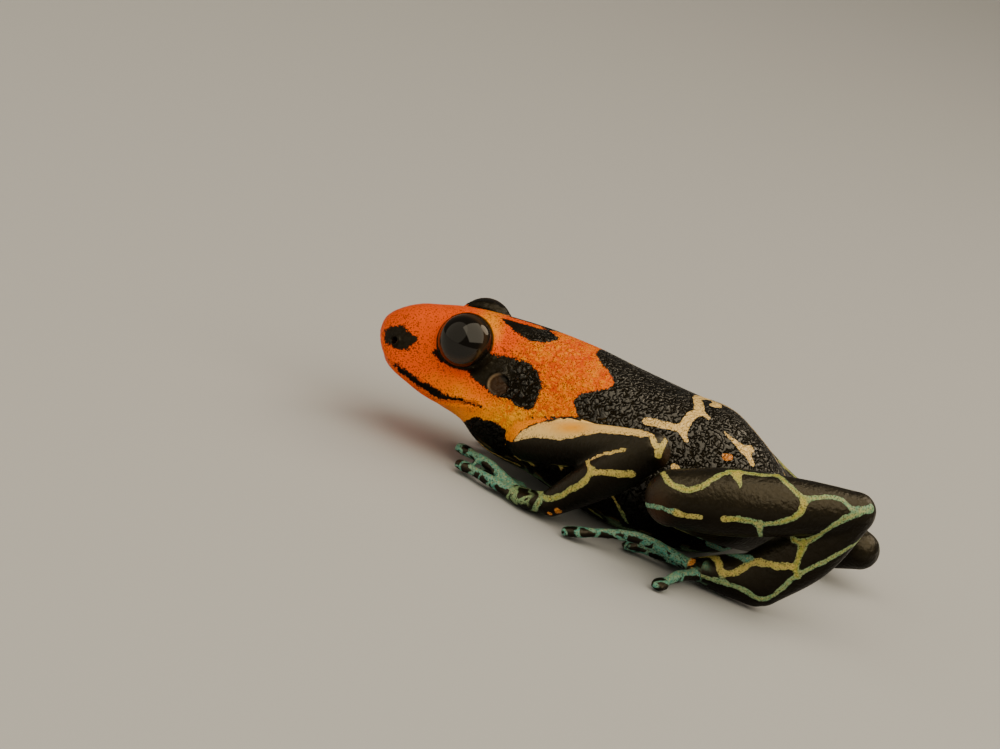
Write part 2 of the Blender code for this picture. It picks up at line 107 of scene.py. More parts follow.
# Joints of the limbs on the left side; the right side mirrors all but its elbow and hind leg. The hollow is
# how far the hand's middle hangs down, and the thigh ends at this place seen from the knee.
SHOULDER = (2.7, -9.6, 2.75)
ELBOW = {LEFT: (5.65, -3.72, 5.4), RIGHT: (5.45, -3.8, 4.55)}
WRIST = (4.75, -7.35, 0.95)
KNUCKLES = (3.85, -9.2, 0.42)
HAND_HOLLOW = 0.12
HIP = (1.6, 2.0, 2.95)
THIGH_END = (-0.15, 0.1, -0.1)
KNEE = {LEFT: (7.35, -1.85, 4.2), RIGHT: (6.8, -1.85, 3.65)}
SHIN = {LEFT: (6.55, 1.9, 5.25), RIGHT: (5.9, 2.0, 2.15)}
HEEL = {LEFT: (5.1, 6.1, 6.25), RIGHT: (3.5, 6.45, 2.1)}
TARSUS_MIDDLE = {LEFT: (5.12, 4.75, 3.68), RIGHT: (3.8, 4.3, 1.7)}
INSTEP = {LEFT: (5.15, 2.95, 1.4), RIGHT: (4.1, 1.9, 1.25)}
TOE_ROOT = {LEFT: (5.0, 0.2, 0.75), RIGHT: (4.6, -0.8, 0.72)}
# Each digit's joints, from the knuckles or the root of the toes.
FINGERS = (
    ((-0.35, 0.45, -0.02), (-1.2, -0.1, 0.0), (-1.9, -0.75, -0.14)),
    ((-0.45, 0.1, 0.0), (-1.3, -1.0, 0.08), (-2.2, -2.05, -0.14)),
    ((-0.2, -0.1, 0.1), (-1.05, -1.75, 0.45), (-2.15, -3.55, 0.4)),
    ((0.35, 0.0, 0.0), (-0.05, -1.4, 0.1), (-1.0, -3.15, 0.0)),
)
TOES = (
    ((-0.5, 0.35, -0.2), (-1.05, -0.3, -0.22), (-1.7, -0.85, -0.47)),
    ((-0.5, 0.0, -0.15), (-1.0, -1.1, -0.18), (-1.6, -2.3, -0.46)),
    ((-0.25, -0.1, -0.05), (-0.55, -1.9, -0.2), (-0.7, -3.6, -0.45)),
    ((0.1, -0.2, 0.05), (0.45, -3.1, 0.42), (1.0, -6.35, -0.43)),
    ((0.5, 0.1, -0.1), (1.8, -0.6, -0.15), (3.3, -1.2, -0.45)),
)
DIGIT_THICKNESS = 0.54
DISC_WIDTH = 0.86
DISC_HEIGHT = 0.5


def digit_profile(root, knuckle, disc):
    """Sizes along a digit, from its root over the knuckle to the disc at its end."""
    thick = DIGIT_THICKNESS
    return ((0.0, thick * root), (0.3, thick), (0.5, thick * knuckle), (0.8, thick * 0.85), (0.9, disc),
            (1.0, disc * 0.9))


# Widths and heights of each limb piece, as (share of its length, size).
DIGIT_SIZES = (digit_profile(1.25, 1.1, DISC_WIDTH), digit_profile(1.1, 1.05, DISC_HEIGHT))
UPPER_ARM = (((0.0, 2.2), (0.5, 2.1), (1.0, 1.8)), ((0.0, 2.0), (0.5, 2.1), (1.0, 1.85)))
FOREARM = (((0.0, 1.8), (0.4, 2.1), (1.0, 1.35)), ((0.0, 1.85), (0.4, 2.15), (1.0, 1.3)))
PALM = (((0.0, 1.35), (0.55, 1.75), (1.0, 1.5)), ((0.0, 1.15), (0.5, 0.95), (1.0, 0.8)))
THIGH = (((0.0, 3.3), (0.5, 3.4), (1.0, 2.4)), ((0.0, 2.8), (0.5, 2.9), (1.0, 2.4)))
SHANK_WIDTHS = ((0.0, 2.6), (0.4, 3.0), (0.75, 2.5), (1.0, 1.9))
SHANK = {LEFT: (SHANK_WIDTHS, ((0.0, 2.7), (0.35, 3.2), (0.75, 2.6), (1.0, 1.9))),
         RIGHT: (SHANK_WIDTHS, ((0.0, 2.6), (0.35, 2.7), (0.75, 2.5), (1.0, 1.9)))}
TARSUS = (((0.0, 1.7), (0.5, 1.9), (1.0, 1.75)), ((0.0, 1.95), (0.5, 2.75), (1.0, 2.7)))
INSTEP_SIZES = (((0.0, 1.7), (0.6, 1.75), (1.0, 1.5)), ((0.0, 2.6), (0.6, 1.85), (1.0, 1.15)))

# The photo's camera: direction, tilt, distance, and the point that it holds at one place of the picture.
VIEW_AZIMUTH = 98.0
VIEW_ELEVATION = 16.0
VIEW_ROLL = 20.0
VIEW_DISTANCE = 230.0
PIXELS_PER_MM = 21.4
FOCUS = PIXELS_PER_MM * VIEW_DISTANCE
PICTURE = (1000.0, 749.0)
AIM_PIXEL = (690.0, 578.0)
AIM_POINT = (5.0, 0.0, 0.2)

# Edges of the orange hood and of the dark patches in it, traced in the photograph.
HOOD_EDGE = ((594, 352), (601, 363), (610, 373), (614, 384), (608, 389), (596, 391), (583, 393), (574, 400),
             (575, 409), (577, 416), (580, 423), (565, 428), (549, 429), (532, 433), (517, 441), (510, 435),
             (503, 428), (489, 420), (472, 417))
NOSE_PATCH = ((385, 330), (392, 326), (402, 325), (405, 328), (408, 331), (414, 335), (418, 339), (415, 344),
              (410, 346), (408, 351), (403, 351), (393, 347), (386, 342), (384, 335))
EYE_CORNER = ((432, 354), (437, 347), (441, 340), (448, 352), (450, 363), (440, 361))
EAR_PATCH = ((446, 365), (456, 368), (466, 371), (471, 378), (478, 383), (485, 387), (490, 394), (497, 397),
             (508, 399), (514, 404), (524, 409), (533, 408), (539, 397), (541, 384), (538, 372), (530, 364),
             (520, 360), (510, 357), (504, 355), (497, 356), (488, 352), (470, 352))
NAPE_PATCH = ((497, 311), (512, 312), (529, 318), (546, 329), (558, 338), (548, 342), (532, 341), (518, 334),
              (505, 323))
ARM_BAND = ((513, 442), (519, 434), (527, 428), (540, 423), (553, 420), (568, 416), (583, 418), (600, 421),
            (620, 425), (640, 429), (656, 436), (640, 436), (620, 434), (600, 433), (584, 435), (572, 438),
            (560, 440), (548, 439), (536, 438), (527, 438))
SHOULDER_HOOD = ((484, 405), (500, 398), (560, 396), (610, 402), (600, 420), *reversed(ARM_BAND[:7]),
                 (503, 438), (494, 424))
LIP_MARK = ((392, 361), (404, 372), (420, 384), (434, 392), (444, 397), (460, 400), (470, 404), (481, 407))
LIP_WIDTHS = (0.09, 0.16, 0.19, 0.19, 0.14, 0.06, 0.05, 0.03)

# Soft spots of colour, as (middle, reach across and down) in the photograph.
GOLD_BEHIND_EYE = ((490, 327), (13, 19))
BAND_BLUSH = ((572, 428), (19, 6))
BROWN_KNEE = ((656, 509), (12, 20))
BROWN_ELBOW = ((668, 457), (7, 12))

# Depth of points outside a mark altogether, the step between points of a trace in the photograph, how far
# past the back's middle line it reaches, how readily the skin counts as upper arm, and the radius at which
# the way round the body is measured.
OUTSIDE = -9.0
TRACE_STEP = 3.0
MIDDLE_REACH = -0.4
UPPER_ARM_LEAD = 0.16
BODY_RADIUS = 3.3

# Pale lines of each group of parts, as (width at the start and end, tint at the start and end, places in the
# photograph). A tint of -1 is orange, 0 cream, 0.5 yellow-green and 1 blue-green.
LINES = {
    ("body",): (
        (0.36, 0.4, 0.0, 0.0, ((647, 421), (659, 424), (674, 427), (682, 429))),
        (0.46, 0.28, 0.0, 0.0, ((682, 429), (686, 440))),
        (0.48, 0.48, 0.0, 0.0, ((682, 429), (691, 416), (699, 411), (697, 399))),
        (0.46, 0.2, 0.0, 0.0, ((699, 411), (708, 418))),
        (0.42, 0.42, 0.0, 0.0, ((713, 405), (716, 405))),
        (0.14, 0.4, 0.0, 0.0, ((724, 432), (734, 441), (743, 449), (751, 449))),
        (0.42, 0.24, 0.0, 0.0, ((743, 449), (749, 457), (753, 465))),
        (0.34, 0.34, -1.0, -1.0, ((726, 457), (730, 457))),
        (0.34, 0.34, 0.0, 0.0, ((674, 467), (677, 468))),
        (0.16, 0.16, 0.3, 0.6, ((612, 496), (620, 509), (627, 523))),
        (0.16, 0.16, 0.4, 0.6, ((589, 509), (602, 518))),
        (0.2, 0.2, 0.1, 0.3, ((478, 442), (495, 454), (519, 465))),
    ),
    ("forearm", "upper_arm"): (
        (0.26, 0.3, 0.2, 0.4, ((652, 437), (657, 447), (659, 456))),
        (0.26, 0.34, 0.3, 0.4, ((666, 440), (661, 449), (659, 456))),
    ),
    ("forearm",): (
        (0.2, 0.42, 0.3, 0.4, ((586, 458), (592, 471), (604, 473), (616, 473), (632, 475))),
        (0.34, 0.24, 0.4, 0.5, ((592, 471), (583, 483), (570, 490), (556, 498), (540, 498))),
        (0.2, 0.36, 0.1, 0.3, ((589, 454), (606, 448), (622, 443))),
    ),
    ("forearm", "palm"): (
        (0.26, 0.26, 0.6, 0.7, ((539, 483), (541, 496), (533, 514))),
        (0.34, 0.34, -1.0, -1.0, ((557, 510), (559, 512))),
        (0.18, 0.18, -1.0, -1.0, ((549, 513), (550, 514))),
    ),
    ("shank",): (
        (0.28, 0.28, 0.45, 0.55, ((663, 473), (670, 483), (679, 488), (689, 490), (704, 485), (713, 479),
                                  (723, 474), (733, 471), (747, 473), (761, 475), (778, 476), (788, 485),
                                  (804, 499))),
        (0.32, 0.12, 0.5, 0.5, ((777, 476), (780, 467))),
        (0.5, 0.06, 0.4, 0.5, ((737, 474), (739, 481), (740, 488))),
        (0.24, 0.24, 0.6, 0.9, ((804, 499), (814, 498), (825, 497), (838, 498), (846, 503), (852, 509),
                                (871, 507))),
        (0.34, 0.26, 0.4, 0.7, ((804, 499), (801, 512), (785, 521), (772, 523), (759, 524))),
        (0.4, 0.1, 0.7, 0.7, ((759, 524), (760, 532), (761, 540))),
        (0.26, 0.34, 0.7, 0.4, ((759, 524), (748, 521), (737, 519), (724, 519))),
        (0.24, 0.24, 0.9, 0.9, ((641, 504), (656, 507), (671, 511))),
        (0.34, 0.22, 0.4, 0.4, ((676, 513), (688, 516), (700, 517))),
    ),
    ("shank", "tarsus", "instep"): (
        (0.3, 0.3, 0.8, 0.5, ((872, 509), (852, 516), (837, 523), (819, 535), (804, 543), (790, 538))),
    ),
    ("tarsus", "instep"): (
        (0.4, 0.26, 0.5, 0.5, ((804, 543), (800, 554), (795, 571), (797, 576))),
        (0.34, 0.34, 0.4, 0.4, ((795, 567), (776, 566), (754, 562), (740, 571), (723, 573), (716, 559),
                                (701, 550))),
        (0.24, 0.24, 0.7, 0.6, ((699, 576), (719, 581), (744, 590), (757, 598), (771, 597), (797, 576),
                                (828, 560), (862, 540))),
    ),
    ("instep", "tarsus", "thigh", "body"): (
        (0.36, 0.36, 1.0, 1.0, ((699, 538), (713, 546), (733, 554), (750, 559))),
    ),
    ("instep",): (
        (0.45, 0.45, -1.0, -1.0, ((688, 560), (691, 562))),
    ),
}

# Lines on the right side of the back only, as (width, places along the body and way round it).
LONE_LINES = (
    (0.17, ((-3.3, 4.85), (-2.2, 4.6), (-0.8, 4.5), (0.6, 4.45), (2.0, 4.4))),
    (0.34, ((-9.2, 3.6), (-8.0, 3.2), (-7.1, 3.5), (-6.2, 3.1))),
    (0.34, ((-7.1, 3.5), (-6.8, 4.2))),
    (0.3, ((-4.4, 2.4), (-3.4, 1.9), (-2.5, 1.1))),
)

# Tints of the net on the hidden side of each part. It covers the webbed parts all round.
NET_TINTS = {"upper_arm": 0.4, "forearm": 0.5, "palm": 0.62, "digit": 1.0, "thigh": 0.45, "shank": 0.6,
             "tarsus": 0.65, "instep": 0.85, "body": 0.7}
WEBBED = ("palm", "digit")

# Soft lights, as (name, place in metres, height aimed at, shape and size, power, colour).
LIGHTS = (
    ("window", (0.055, 0.075, 0.185), 0.003, ("RECTANGLE", 0.3, 0.34), 0.68, (1.0, 0.87, 0.63)),
    ("fill", (0.1, -0.15, 0.1), 0.004, ("DISK", 0.4, 0.4), 0.26, (1.0, 0.89, 0.67)),
    ("rear", (-0.1, 0.08, 0.12), 0.004, ("DISK", 0.09, 0.09), 0.07, (1.0, 0.84, 0.6)),
)
SKY_COLOUR = (1.0, 0.91, 0.75)
SKY_STRENGTH = 0.08
SENSOR_WIDTH = 36.0


def length(name, description, millimetres):
    """A length, as a property of the add-on."""
    return bpy.props.FloatProperty(name=name, description=description, default=millimetres * MM, min=0.0,
                                   unit="LENGTH", precision=6)


def tone(name, description, default):
    """A colour, as a property of the add-on."""
    return bpy.props.FloatVectorProperty(name=name, description=description, default=default, subtype="COLOR",
                                         min=0.0, max=1.0)


class FrogSizes(bpy.types.PropertyGroup):
    """Sizes of the skin's make-up, of the eyes and of the floor."""

    grain: length("Grain", "Spacing of the skin's points", 0.139)
    melt: bpy.props.IntProperty(name="Melting", description="Rounds that melt the forms together", default=10,
                                min=0)
    eye_radius: length("Eye", "Radius of the eyeballs", 1.33)
    mouth_depth: length("Mouth", "Depth of the groove between the lips", 0.13)
    lip_height: length("Lips", "Swell of the skin beside the mouth", 0.07)
    nostril_radius: length("Nostril", "Radius of the nostrils", 0.13)
    nostril_depth: length("Nostril depth", "Depth of the nostrils", 0.22)
    nostril_rim: length("Nostril rim", "Swell of the skin round the nostrils", 0.06)
    eardrum_rim: length("Eardrum rim", "Swell of the skin round the eardrums", 0.05)
    net_cell: length("Net cell", "Width of the net's cells on hidden skin", 1.7)
    net_line: length("Net line", "Half-width of the net's lines on hidden skin", 0.15)
    digit_cell: length("Digit cell", "Width of the net's cells on palms and digits", 0.8)
    digit_line: length("Digit line", "Half-width of the net's lines on palms and digits", 0.075)
    floor_reach: length("Floor", "Half-width of the floor", 900.0)


class FrogColours(bpy.types.PropertyGroup):
    """Colours of skin, eyes and floor."""

    orange: tone("Hood", "Head and shoulders", (0.94, 0.1, 0.0))
    # On the hood's raised granules this yellow is also laid on as painted highlight.
    yellow: tone("Jaw", "Warmest skin of the hood, on jaw and raised places", (1.0, 0.4, 0.0))
    black: tone("Ground", "Skin between the lines, and the hood's patches", (0.0022, 0.0016, 0.001))
    cream: tone("Back lines", "Lines on back and upper arms", (1.0, 0.68, 0.25))
    green: tone("Leg lines", "Lines on forearms and hind legs", (0.31, 0.34, 0.05))
    teal: tone("Foot lines", "Lines on hands and feet, and the edge of green lines", (0.08, 0.33, 0.27))
    spot: tone("Spots", "Spots on back, wrist and foot", (0.75, 0.22, 0.02))
    eardrum: tone("Brown skin", "Eardrums, and a tinge of knee and elbow", (0.035, 0.016, 0.008))
    rim: tone("Eardrum edge", "Pale front edge of the eardrums", (0.4, 0.28, 0.17))
    eye: tone("Eye", "Eyeballs", (0.006, 0.005, 0.004))
    iris: tone("Iris", "Faint ring in the eyes", (0.035, 0.02, 0.01))
    floor: tone("Floor", "Floor under the frog", (0.52, 0.53, 0.565))


def sizes():
    return bpy.context.scene.frog_sizes


def size(name):
    """One of the sizes in millimetres, free of the last digits that a stored number picks up."""
    return round(getattr(sizes(), name) / MM, 6)


def colours():
    return bpy.context.scene.frog_colours


def origin():
    """Where the frame puts the point (0, 0, 0) of the sizes above, in millimetres."""
    low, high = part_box("left_eye")
    middle = (Vector(low) + Vector(high)) / 2 / MM
    return np.array(middle) - np.array(EYE_CENTRE)


def curve(line, places):
    """A smooth curve through the points of an outline, read at many places."""
    places = np.asarray(places, dtype=float)
    at = np.array([p[0] for p in line])
    value = np.array([p[1] for p in line])
    before = np.concatenate([[value[0]], value[:-1]])
    after = np.concatenate([value[1:], [value[-1]]])
    at_before = np.concatenate([[at[0]], at[:-1]])
    at_after = np.concatenate([at[1:], [at[-1]]])
    slope = (after - before) / (at_after - at_before)
    i = np.clip(np.searchsorted(at, places, side="left") - 1, 0, len(at) - 2)
    span = at[i + 1] - at[i]
    t = np.clip((places - at[i]) / span, 0, 1)
    return ((2 * t**3 - 3 * t**2 + 1) * value[i] + (t**3 - 2 * t**2 + t) * span * slope[i]
            + (3 * t**2 - 2 * t**3) * value[i + 1] + (t**3 - t**2) * span * slope[i + 1])


def rounding(y):
    nose = np.clip((y - SNOUT_Y) / NOSE_LENGTH, 0, 1)
    rump = np.clip((VENT_Y - y) / RUMP_LENGTH, 0, 1)
    return np.sqrt(np.clip(1 - (1 - nose) ** 2, 0, 1)) * np.sqrt(np.clip(1 - (1 - rump) ** 2, 0, 1))


def section(y):
    """Top, bottom, widest height, half-width, taper and squareness of the body at y."""
    share = np.maximum(rounding(y), 0.02)
    middle = np.where(y < NECK_Y, NOSE_Z, VENT_Z)
    top = middle + (curve(BACK_LINE, y) - middle) * share
    bottom = middle + (curve(BELLY_LINE, y) - middle) * share
    widest = middle + (curve(WIDEST_HEIGHT, y) - middle) * share
    return top, bottom, widest, curve(WIDTH_LINE, y) * share, curve(TOP_TAPER, y), curve(TOP_SQUARENESS, y)


def body_rings(stations, sides):
    """Rings of points round head and trunk, one ring per place along the body."""
    y = np.asarray(stations, dtype=float)[:, None]
    angle = (math.tau * (np.arange(sides) + 0.5) / sides)[None, :]
    top, bottom, widest, width, taper, squareness = section(y)
    across, up = np.cos(angle), np.sin(angle)
    squareness = np.where(up > 0, squareness, BELLY_SQUARENESS)
    rise = np.abs(up) ** (2 / squareness)
    x = np.sign(across) * np.abs(across) ** (2 / squareness) * width
    x = np.where(up > 0, x * (1 - taper * rise), x)
    z = np.where(up > 0, widest + (top - widest) * rise, widest - (widest - bottom) * rise)
    return np.stack([x, np.broadcast_to(y, x.shape), z], axis=-1)


def body_side(y, z):
    """The left surface point of the body at this place and height."""
    ring = body_rings([y], 720)[0]
    half = ring[np.r_[540:720, 0:180]]
    return half[int(np.argmin(np.abs(half[:, 2] - z)))]


def path_points(joints, t):
    """Points of the smooth curve through the joints, t from 0 to 1."""
    joints = np.asarray(joints, dtype=float)
    padded = np.vstack([2 * joints[0] - joints[1], joints, 2 * joints[-1] - joints[-2]])
    spans = len(joints) - 1
    t = np.asarray(t) * spans
    i = np.clip(t.astype(int), 0, spans - 1)
    t = (t - i)[:, None]
    p0, p1, p2, p3 = padded[i], padded[i + 1], padded[i + 2], padded[i + 3]
    return (2 * p1 + (p2 - p0) * t + (2 * p0 - 5 * p1 + 4 * p2 - p3) * t**2
            + (3 * p1 - p0 - 3 * p2 + p3) * t**3) / 2


def even_steps(pixels):
    """Places along a traced line, from 0 to 1, about one step of the trace apart."""
    lengths = np.linalg.norm(np.diff(np.asarray(pixels, dtype=float), axis=0), axis=1)
    places = [0.0]
    for i, span in enumerate(lengths):
        count = max(1, int(span / TRACE_STEP))
        places += [(i + k / count) / len(lengths) for k in range(1, count + 1)]
    return np.array(places)


def unit(v):
    return v / np.maximum(np.linalg.norm(v, axis=-1, keepdims=True), TINY)


def dots(a, b):
    return np.einsum("ij,ij->i", a, b)


class Limb:
    """A limb piece: its middle line, the directions across it and its sizes."""

    def __init__(self, part, side, joints, sizes_along, count=33):
        self.part, self.side, self.joints, self.sizes = part, side, joints, sizes_along
        self.t = np.linspace(0, 1, count)
        self.middle, self.along, self.across, self.rise = self.directions(self.t)
        self.half = self.half_sizes(self.t)

    def half_sizes(self, t):
        """Half the width and half the height at these places."""
        return np.stack([curve(self.sizes[0], t), curve(self.sizes[1], t)], axis=-1) / 2

    def directions(self, t):
        """The middle line at these places, and the directions along, across and up."""
        ahead = path_points(self.joints, np.minimum(t + 0.01, 1))
        behind = path_points(self.joints, np.maximum(t - 0.01, 0))
        along = unit(ahead - behind)
        across = unit(np.cross(along, UP))
        return path_points(self.joints, t), along, across, np.cross(across, along)

    def rings(self, rings=40, sides=40, caps=10):
        """Rings of points round the limb, closing in over a rounded cap at each end."""
        k = np.arange(-caps, rings + caps + 1)
        over = np.maximum(np.maximum(-k, k - rings), 0) / (caps + 0.3) * math.pi / 2
        angle = math.tau * (np.arange(sides) + 0.5) / sides
        a, b = (np.outer(np.cos(over), way).ravel() for way in (np.cos(angle), np.sin(angle)))
        t = np.repeat(np.clip(k / rings, 0, 1), sides)
        e = np.repeat(np.where(k < 0, -1, 1) * np.sin(over), sides)
        return self.place(t, a, b, e)[0].reshape(len(k), sides, 3)

    def locate(self, points):
        """Each point's place along, shares across, up and beyond the end, and distance from the surface."""
        gap = np.linalg.norm(points[:, None, :] - self.middle[None, :, :], axis=-1)
        i = np.argmin(gap, axis=1)
        step = dots(points - self.middle[i], self.along[i])
        length_along = np.linalg.norm(np.diff(self.middle, axis=0), axis=1).sum()
        t = np.clip(self.t[i] + step / length_along, 0, 1)
        middle, along, across, rise = self.directions(t)
        half = self.half_sizes(t)
        local = points - middle
        a = dots(local, across) / half[:, 0]
        b = dots(local, rise) / half[:, 1]
        e = np.where((t <= 0) | (t >= 1), dots(local, along) / half.min(axis=1), 0.0)
        far = (np.sqrt(a * a + b * b + e * e) - 1) * half.min(axis=1)
        return t, a, b, e, far

    def place(self, t, a, b, e):
        """The points and outward directions at these places of the limb."""
        middle, along, across, rise = self.directions(t)
        half = self.half_sizes(t)
        least = half.min(axis=1)
        points = (middle + across * (a * half[:, 0])[:, None] + rise * (b * half[:, 1])[:, None]
                  + along * (e * least)[:, None])
        out = unit(across * (a / half[:, 0])[:, None] + rise * (b / half[:, 1])[:, None]
                   + along * (e / least)[:, None])
        return points, out


def mirrored(place, side):
    return np.array([place[0] * side, place[1], place[2]])


def to_left(points):
    """The points, with those of the right side mirrored to the left."""
    return np.abs(points * [1, 0, 0]) + points * [0, 1, 1]


def make_limbs(side):
    """Every limb piece of one side, from shoulder and hip to the discs."""
    shoulder, wrist, knuckles, hip = (mirrored(p, side) for p in (SHOULDER, WRIST, KNUCKLES, HIP))
    elbow, knee, shin, heel, tarsus, instep, toe_root = (
        mirrored(p[side], side) for p in (ELBOW, KNEE, SHIN, HEEL, TARSUS_MIDDLE, INSTEP, TOE_ROOT))
    hand_middle = (wrist + knuckles) / 2 - HAND_HOLLOW * UP
    limbs = [
        Limb("upper_arm", side, (shoulder, elbow), UPPER_ARM),
        Limb("forearm", side, (elbow, wrist), FOREARM),
        Limb("palm", side, (wrist, hand_middle, knuckles), PALM),
        Limb("thigh", side, (hip, knee + mirrored(THIGH_END, side)), THIGH),
        Limb("shank", side, (knee, shin, heel), SHANK[side]),
        Limb("tarsus", side, (heel, tarsus, instep), TARSUS),
        Limb("instep", side, (instep, toe_root), INSTEP_SIZES),
    ]
    for root, digits in ((knuckles, FINGERS), (toe_root, TOES)):
        for places in digits:
            limbs.append(Limb("digit", side, [root + mirrored(p, side) for p in places], DIGIT_SIZES))
    return limbs


def eyelid_rings(side, segments=64):
    """The fold of skin round the eye, turned about the way the eye looks."""
    looks = unit(mirrored(EYE_LOOKS, side))
    across = unit(np.cross(looks, UP))
    rise = np.cross(across, looks)
    angle = math.tau * np.arange(segments) / segments
    turn = across[None, :] * np.cos(angle)[:, None] + rise[None, :] * np.sin(angle)[:, None]
    depth, radius = np.array(LID_PROFILE).T
    fine = np.linspace(depth[0], depth[-1], 30)
    radius = np.interp(fine, depth, radius)
    return np.array([mirrored(EYE_CENTRE, side) + looks * s + turn * r for s, r in zip(fine, radius)])


def add_rings(bm, rings):
    """Adds a closed tube through rings of points."""
    rows = [[bm.verts.new(p) for p in ring] for ring in rings]
    count = len(rows[0])
    faces = []
    for a, b in zip(rows, rows[1:]):
        for i in range(count):
            faces.append(bm.faces.new((a[i], a[(i + 1) % count], b[(i + 1) % count], b[i])))
    faces.append(bm.faces.new(rows[0]))
    faces.append(bm.faces.new(rows[-1]))
    bmesh.ops.recalc_face_normals(bm, faces=faces)


def link(name, data):
    obj = bpy.data.objects.new(name, data)
    bpy.context.scene.collection.objects.link(obj)
    return obj


def fuse(bm, grain):
    """Fuses overlapping closed forms into one surface of even small faces."""
    mesh = bpy.data.meshes.new("forms")
    bm.to_mesh(mesh)
    obj = link("forms", mesh)
    remesh = obj.modifiers.new("fuse", "REMESH")
    remesh.mode = "VOXEL"
    remesh.voxel_size = grain
    bpy.context.view_layer.update()
    fused = bpy.data.meshes.new_from_object(obj.evaluated_get(bpy.context.evaluated_depsgraph_get()))
    bpy.data.objects.remove(obj)
    bpy.data.meshes.remove(mesh)
    return fused


def read(items, name, kind, width):
    """One property of all vertices or edges of a mesh, a row each."""
    values = np.empty(len(items) * width, dtype=kind)
    items.foreach_get(name, values)
    return values.reshape(-1, width)


def points_of(mesh):
    return read(mesh.vertices, "co", float, 3)


def set_points(mesh, points):
    mesh.vertices.foreach_set("co", points.ravel())
    mesh.update()


def normals_of(mesh):
    return read(mesh.vertices, "normal", float, 3)


def neighbours_mean(points, edges):
    one, other = edges.T
    count = np.bincount(edges.ravel(), minlength=len(points))
    total = [np.bincount(one, column[other], len(points)) + np.bincount(other, column[one], len(points))
             for column in points.T]
    return np.stack(total, -1) / np.maximum(count, 1)[:, None]


def melt(mesh, rounds, share=0.6, back=-0.62):
    """Smooths a surface without shrinking it."""
    edges = read(mesh.edges, "vertices", np.int64, 2)
    points = points_of(mesh)
    for _ in range(rounds):
        for part in (share, back):
            points = points + (neighbours_mean(points, edges) - points) * part
    set_points(mesh, points)


def refine(mesh, reach):
    """Splits the faces within reach of the small features, so that they can be drawn finely."""
    bm = bmesh.new()
    bm.from_mesh(mesh)
    chosen = near_features(np.array([v.co for v in bm.verts]), reach)
    bm.verts.ensure_lookup_table()
    edges = [e for e in bm.edges if chosen[e.verts[0].index] and chosen[e.verts[1].index]]
    bmesh.ops.subdivide_edges(bm, edges=edges, cuts=1, use_grid_fill=True)
    bmesh.ops.triangulate(bm, faces=[f for f in bm.faces if len(f.verts) > 4])
    bm.to_mesh(mesh)
    bm.free()


def to_segments(points, path, values=None):
    """Each point's distance to a path of straight runs, with the value at the nearest place of the path."""
    best = np.full(len(points), 1e9)
    found = np.zeros(len(points))
    values = np.zeros(len(path)) if values is None else np.asarray(values, dtype=float)
    for i in range(len(path) - 1):
        run = path[i + 1] - path[i]
        t = np.clip((points - path[i]) @ run / max(run @ run, TINY), 0, 1)
        far = np.linalg.norm(points - (path[i] + t[:, None] * run), axis=1)
        closer = far < best
        best[closer] = far[closer]
        found[closer] = (values[i] + (values[i + 1] - values[i]) * t)[closer]
    return best, found


def melted(a, b, reach=0.15):
    """The larger of two depths, rounded where they meet, as where two pale lines join."""
    share = np.clip(0.5 + (a - b) / (2 * reach), 0, 1)
    return b * (1 - share) + a * share + reach * share * (1 - share)


def inside_of(points, outline):
    """Signed distance to a closed outline in the plane, positive inside."""
    ring = np.vstack([outline, outline[:1]])
    far, _ = to_segments(points, ring)
    inside = np.zeros(len(points), dtype=bool)
    for a, b in zip(ring, ring[1:]):
        crosses = (a[1] > points[:, 1]) != (b[1] > points[:, 1])
        rise = b[1] - a[1] if abs(b[1] - a[1]) > TINY else TINY
        inside ^= crosses & (points[:, 0] < (b[0] - a[0]) * (points[:, 1] - a[1]) / rise + a[0])
    return np.where(inside, far, -far)


def smoothstep(low, high, x):
    t = np.clip((x - low) / (high - low), 0, 1)
    return t * t * (3 - 2 * t)


def swell(x, middle, reach):
    """1 where x is at the middle, fading out beyond the reach."""
    return np.exp(-(((x - middle) / reach) ** 2))


def distance(points, place):
    return np.linalg.norm(points - place, axis=1)


def view_axes():
    """Right, up and forward of the photo's camera, and its place."""
    a, e, s = math.radians(VIEW_AZIMUTH), math.radians(VIEW_ELEVATION), math.radians(VIEW_ROLL)
    forward = -np.array([math.sin(a) * math.cos(e), -math.cos(a) * math.cos(e), math.sin(e)])
    level = unit(np.cross(forward, UP))
    upright = np.cross(level, forward)
    right = math.cos(s) * level + math.sin(s) * upright
    up = -math.sin(s) * level + math.cos(s) * upright
    dx, dy = (AIM_PIXEL[0] - PICTURE[0] / 2) / FOCUS, -(AIM_PIXEL[1] - PICTURE[1] / 2) / FOCUS
    place = np.array(AIM_POINT) - VIEW_DISTANCE * (forward + dx * right + dy * up)
    return right, up, forward, place


def project(points):
    """Places in the photograph of points of the frog."""
    right, up, forward, place = view_axes()
    rel = points - place
    scale = FOCUS / (rel @ forward)
    return np.stack([PICTURE[0] / 2 + scale * (rel @ right), PICTURE[1] / 2 - scale * (rel @ up)], -1)


def unrolled(points):
    """Head and trunk laid flat: place along the body, and the way round it from the side."""
    y = points[:, 1]
    middle = (curve(BACK_LINE, y) + curve(BELLY_LINE, y)) / 2
    angle = np.arctan2(points[:, 2] - middle, np.abs(points[:, 0]))
    return np.stack([y, angle * BODY_RADIUS], axis=-1)


